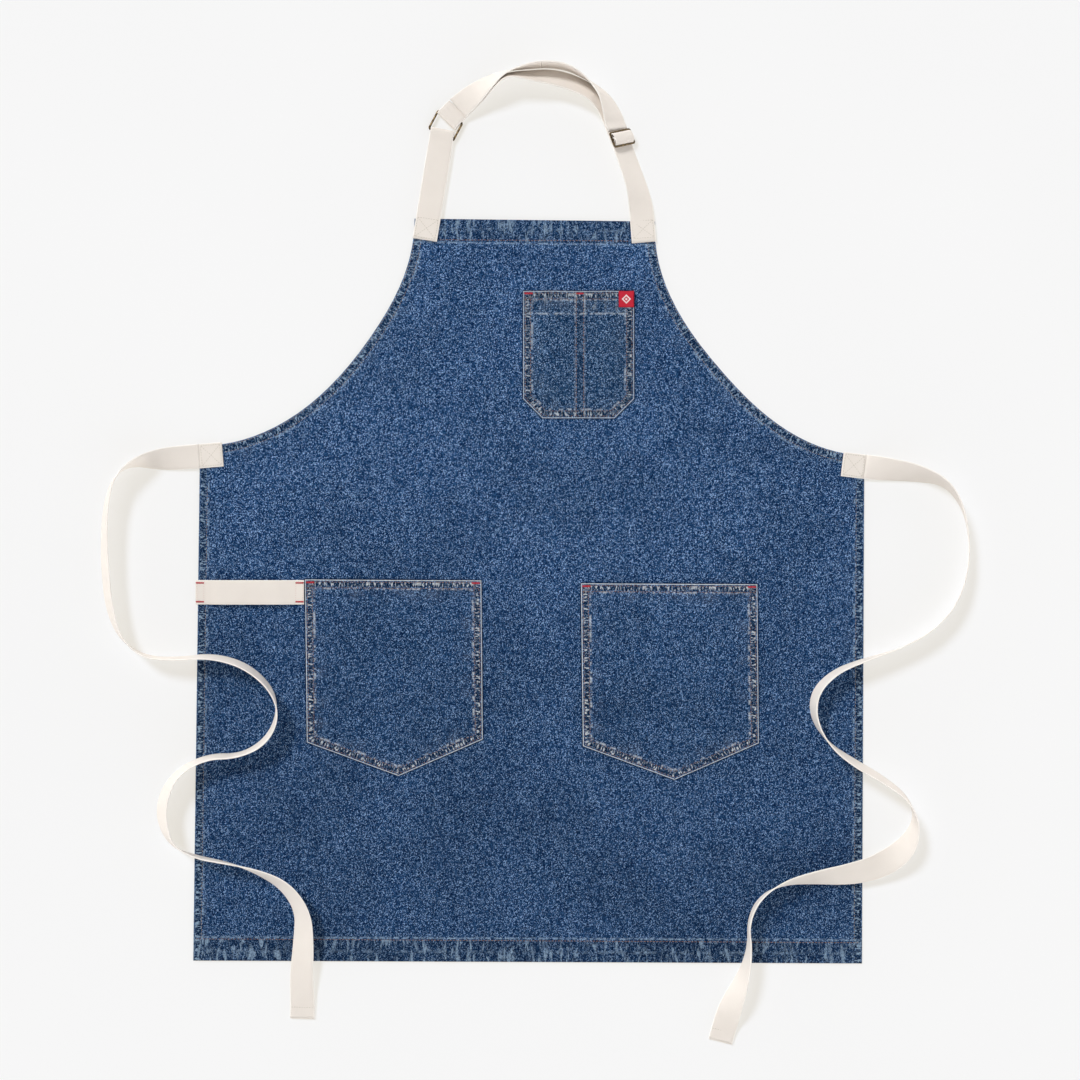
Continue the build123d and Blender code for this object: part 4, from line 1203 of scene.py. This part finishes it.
def red_label():
    """A woven red label with a small plain diamond."""
    n = Nodes("woven_red")
    x, y, d = n.attribute("label_x"), n.attribute("label_y"), n.attribute("label_d")
    across, up = n.level()
    weft = n.math("SINE", up * (2 * math.pi / 0.55))
    warp = n.math("SINE", across * (2 * math.pi / 0.7))
    weave = weft * warp * 0.5 + 0.5
    fuzz = n.noise(0.8, detail=3.0)
    colour = n.mix(weave * 0.4 + fuzz * 0.6, linear(168, 22, 44), linear(214, 40, 62))
    colour = n.mix(n.ramp(d, 0.5, 1.2, 1.0, 0.0) * 0.4, colour, linear(150, 14, 34))
    reach = n.math("ABSOLUTE", x) + n.math("ABSOLUTE", y) + fuzz * 0.5
    mark = n.most(n.span(reach, 3.1, 3.5, 4.9, 5.3), n.ramp(reach, 1.5, 1.9, 1.0, 0.0))
    colour = n.mix(mark * 0.92, colour, linear(238, 224, 224))
    rough = n.ramp(fuzz, 0.3, 0.7, 0.7, 0.85)
    return n.shade(colour, rough, weave + fuzz + mark * 0.5, depth=0.12, strength=0.6)


# The denim's flecks, each from dark to pale
BODY_GRAIN = linear(2, 27, 66), linear(53, 93, 141), linear(153, 186, 228)
CHEST_GRAIN = linear(3, 26, 58), linear(50, 86, 127), linear(145, 174, 208)
POCKET_GRAIN = linear(2, 26, 63), linear(52, 92, 139), linear(149, 181, 222)
PANEL_ROWS = (EDGE_ROW, INNER_ROW)
POCKET_ROWS = (POCKET_EDGE_ROW, POCKET_INNER_ROW)
MOUTH_HEM = 22.0
body_denim = denim("washed_denim", BODY_GRAIN, linear(160, 186, 210), BAND_HEM, 0.62, PANEL_ROWS, 0.35)
chest_denim = denim("chest_pocket_denim", CHEST_GRAIN, linear(200, 210, 218), MOUTH_HEM, 0.15, POCKET_ROWS, 0.9)
pocket_denim = denim("pocket_denim", POCKET_GRAIN, linear(222, 228, 232), MOUTH_HEM, 0.0, POCKET_ROWS, 0.95)
cream = webbing("cream_webbing", linear(245, 238, 230), linear(231, 222, 213), linear(249, 244, 238))
brown = thread("copper_thread", linear(122, 88, 66), linear(156, 122, 98))
mixed = thread("brown_and_ecru_thread", linear(112, 96, 86), linear(178, 168, 156))
ecru = thread("ecru_thread", linear(196, 188, 174), linear(214, 207, 195), 0.65)
red = thread("red_thread", linear(170, 34, 48), linear(196, 52, 66))
pink = thread("faded_red_thread", linear(214, 172, 168), linear(226, 192, 186))
bronze = antique_metal()
woven = red_label()


def finish_piece(obj, material):
    obj.data.materials.append(material)


# The first of these words that is in a piece's key gives its material and its slot
LOOKS = [
    ("bartacks", red, "red_thread"), ("_box", ecru, "ecru_thread"), ("armhole_stitches", mixed, "brown_thread"),
    ("side_hem_stitches", mixed, "brown_thread"), ("underside", mixed, "brown_thread"),
    ("stitches", brown, "brown_thread"),
    ("pocket_label", woven, "red_label"), ("chest_pocket", chest_denim, "pocket_denim"),
    ("_pocket", pocket_denim, "pocket_denim"), ("", body_denim, "denim"),
]
for key, obj in pieces.items():
    material, slot = next((material, slot) for word, material, slot in LOOKS if word in key)
    finish_piece(obj, material)
    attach(obj, "apron")
tie_webbing = [obj for side in ("left", "right") for obj in (*ties[side][:2], ties[side + "_sewn"])]
tie_threads = [ties[side][2] for side in ("left", "right")]
straps = (towel_loop, anchor_strap, ring_strap, neck_strap, return_ring, return_slider, end_loop, over_bar)
for obj in (*straps, *tie_webbing):
    finish_piece(obj, cream)
for obj in tie_threads:
    finish_piece(obj, ecru)
finish_piece(loop_sewn, red)
finish_piece(loop_dots, pink)
for node in ("strap_ring", "strap_slider"):
    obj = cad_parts[node]
    obj.data.materials.clear()
    obj.data.materials.append(bronze)

# What each piece moves with
for obj in (towel_loop, loop_sewn, loop_dots, anchor_strap, *tie_webbing, *tie_threads):
    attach(obj, "apron")
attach(ring_strap, "ring")
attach(end_loop, "slider")
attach(over_bar, "slider")
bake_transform(neck_strap)
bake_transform(return_ring)
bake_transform(return_slider)

# The ties' own CAD parts are hidden, as the ties stand in for them
for name, length in (("left", 0.936), ("right", 0.923)):
    tie, fold, stitching, line = ties[name]
    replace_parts(tie, name + "_tie")
    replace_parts(fold, name + "_tie_end_fold")
    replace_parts(stitching, name + "_tie_end_stitches")
    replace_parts(ties[name + "_sewn"], name + "_tie_sewn_end")
    line[0] * MM
    (line * MM).tolist()
    ties[name + "_sewn"]
# A curved strip's flat size comes from its area and the way round it, and no side is given as under SMALLEST
SMALLEST = 10.2
for key, outline in outlines.items():
    size = outline.max(0) - outline.min(0)
    area = area_of(outline)
    if area < 0.35 * size[0] * size[1]:
        half_round = lengths(np.vstack([outline, outline[:1]]))[-1] / 2
        width = (half_round - math.sqrt(half_round**2 - 4 * area)) / 2
        size = np.array([max(width, SMALLEST), half_round - width])
    size = np.maximum(size, SMALLEST)
    under = "floor" if key == "panel" or key.endswith("_hem") else "panel_cloth"
    tuple(size * MM)
    min(area, size[0] * size[1]) * MM * MM


def length_of(path):
    return float(lengths(np.array(path))[-1])


strap_lengths = (
    (114.5, "panel_cloth"), (length_of([p[0] for p in anchor]), "panel_cloth"),
    (length_of([p[0] for p in ring_fold]), "strap_ring"), (320.0, "floor"), (97.0, "neck_strap_webbing"),
    (100.0, "neck_strap_webbing"), (length_of(end_path), "strap_slider"), (length_of(over_path), "strap_slider"),
)
for obj, (length, under) in zip(straps, strap_lengths):
    length * MM

# The floor gives off a little light, so that shadows on it are pale
FLOOR_REACH = 4000
floor_corners = [(x * FLOOR_REACH, y * FLOOR_REACH, 0) for x, y in ((-1, -1), (1, -1), (1, 1), (-1, 1))]
floor = make("floor", floor_corners, [(0, 1, 2, 3)])
n = Nodes("pale_floor")
tint = n.ramp(n.noise(400), 0.3, 0.7)
floor.data.materials.append(n.shade(n.mix(tint, (0.302, 0.351, 0.444, 1), (0.31, 0.359, 0.452, 1)), 0.9, specular=0.0))
glow = n.tree.nodes["Principled BSDF"]
glow.inputs["Emission Color"].default_value = (0.624, 0.575, 0.482, 1)
glow.inputs["Emission Strength"].default_value = 1.0
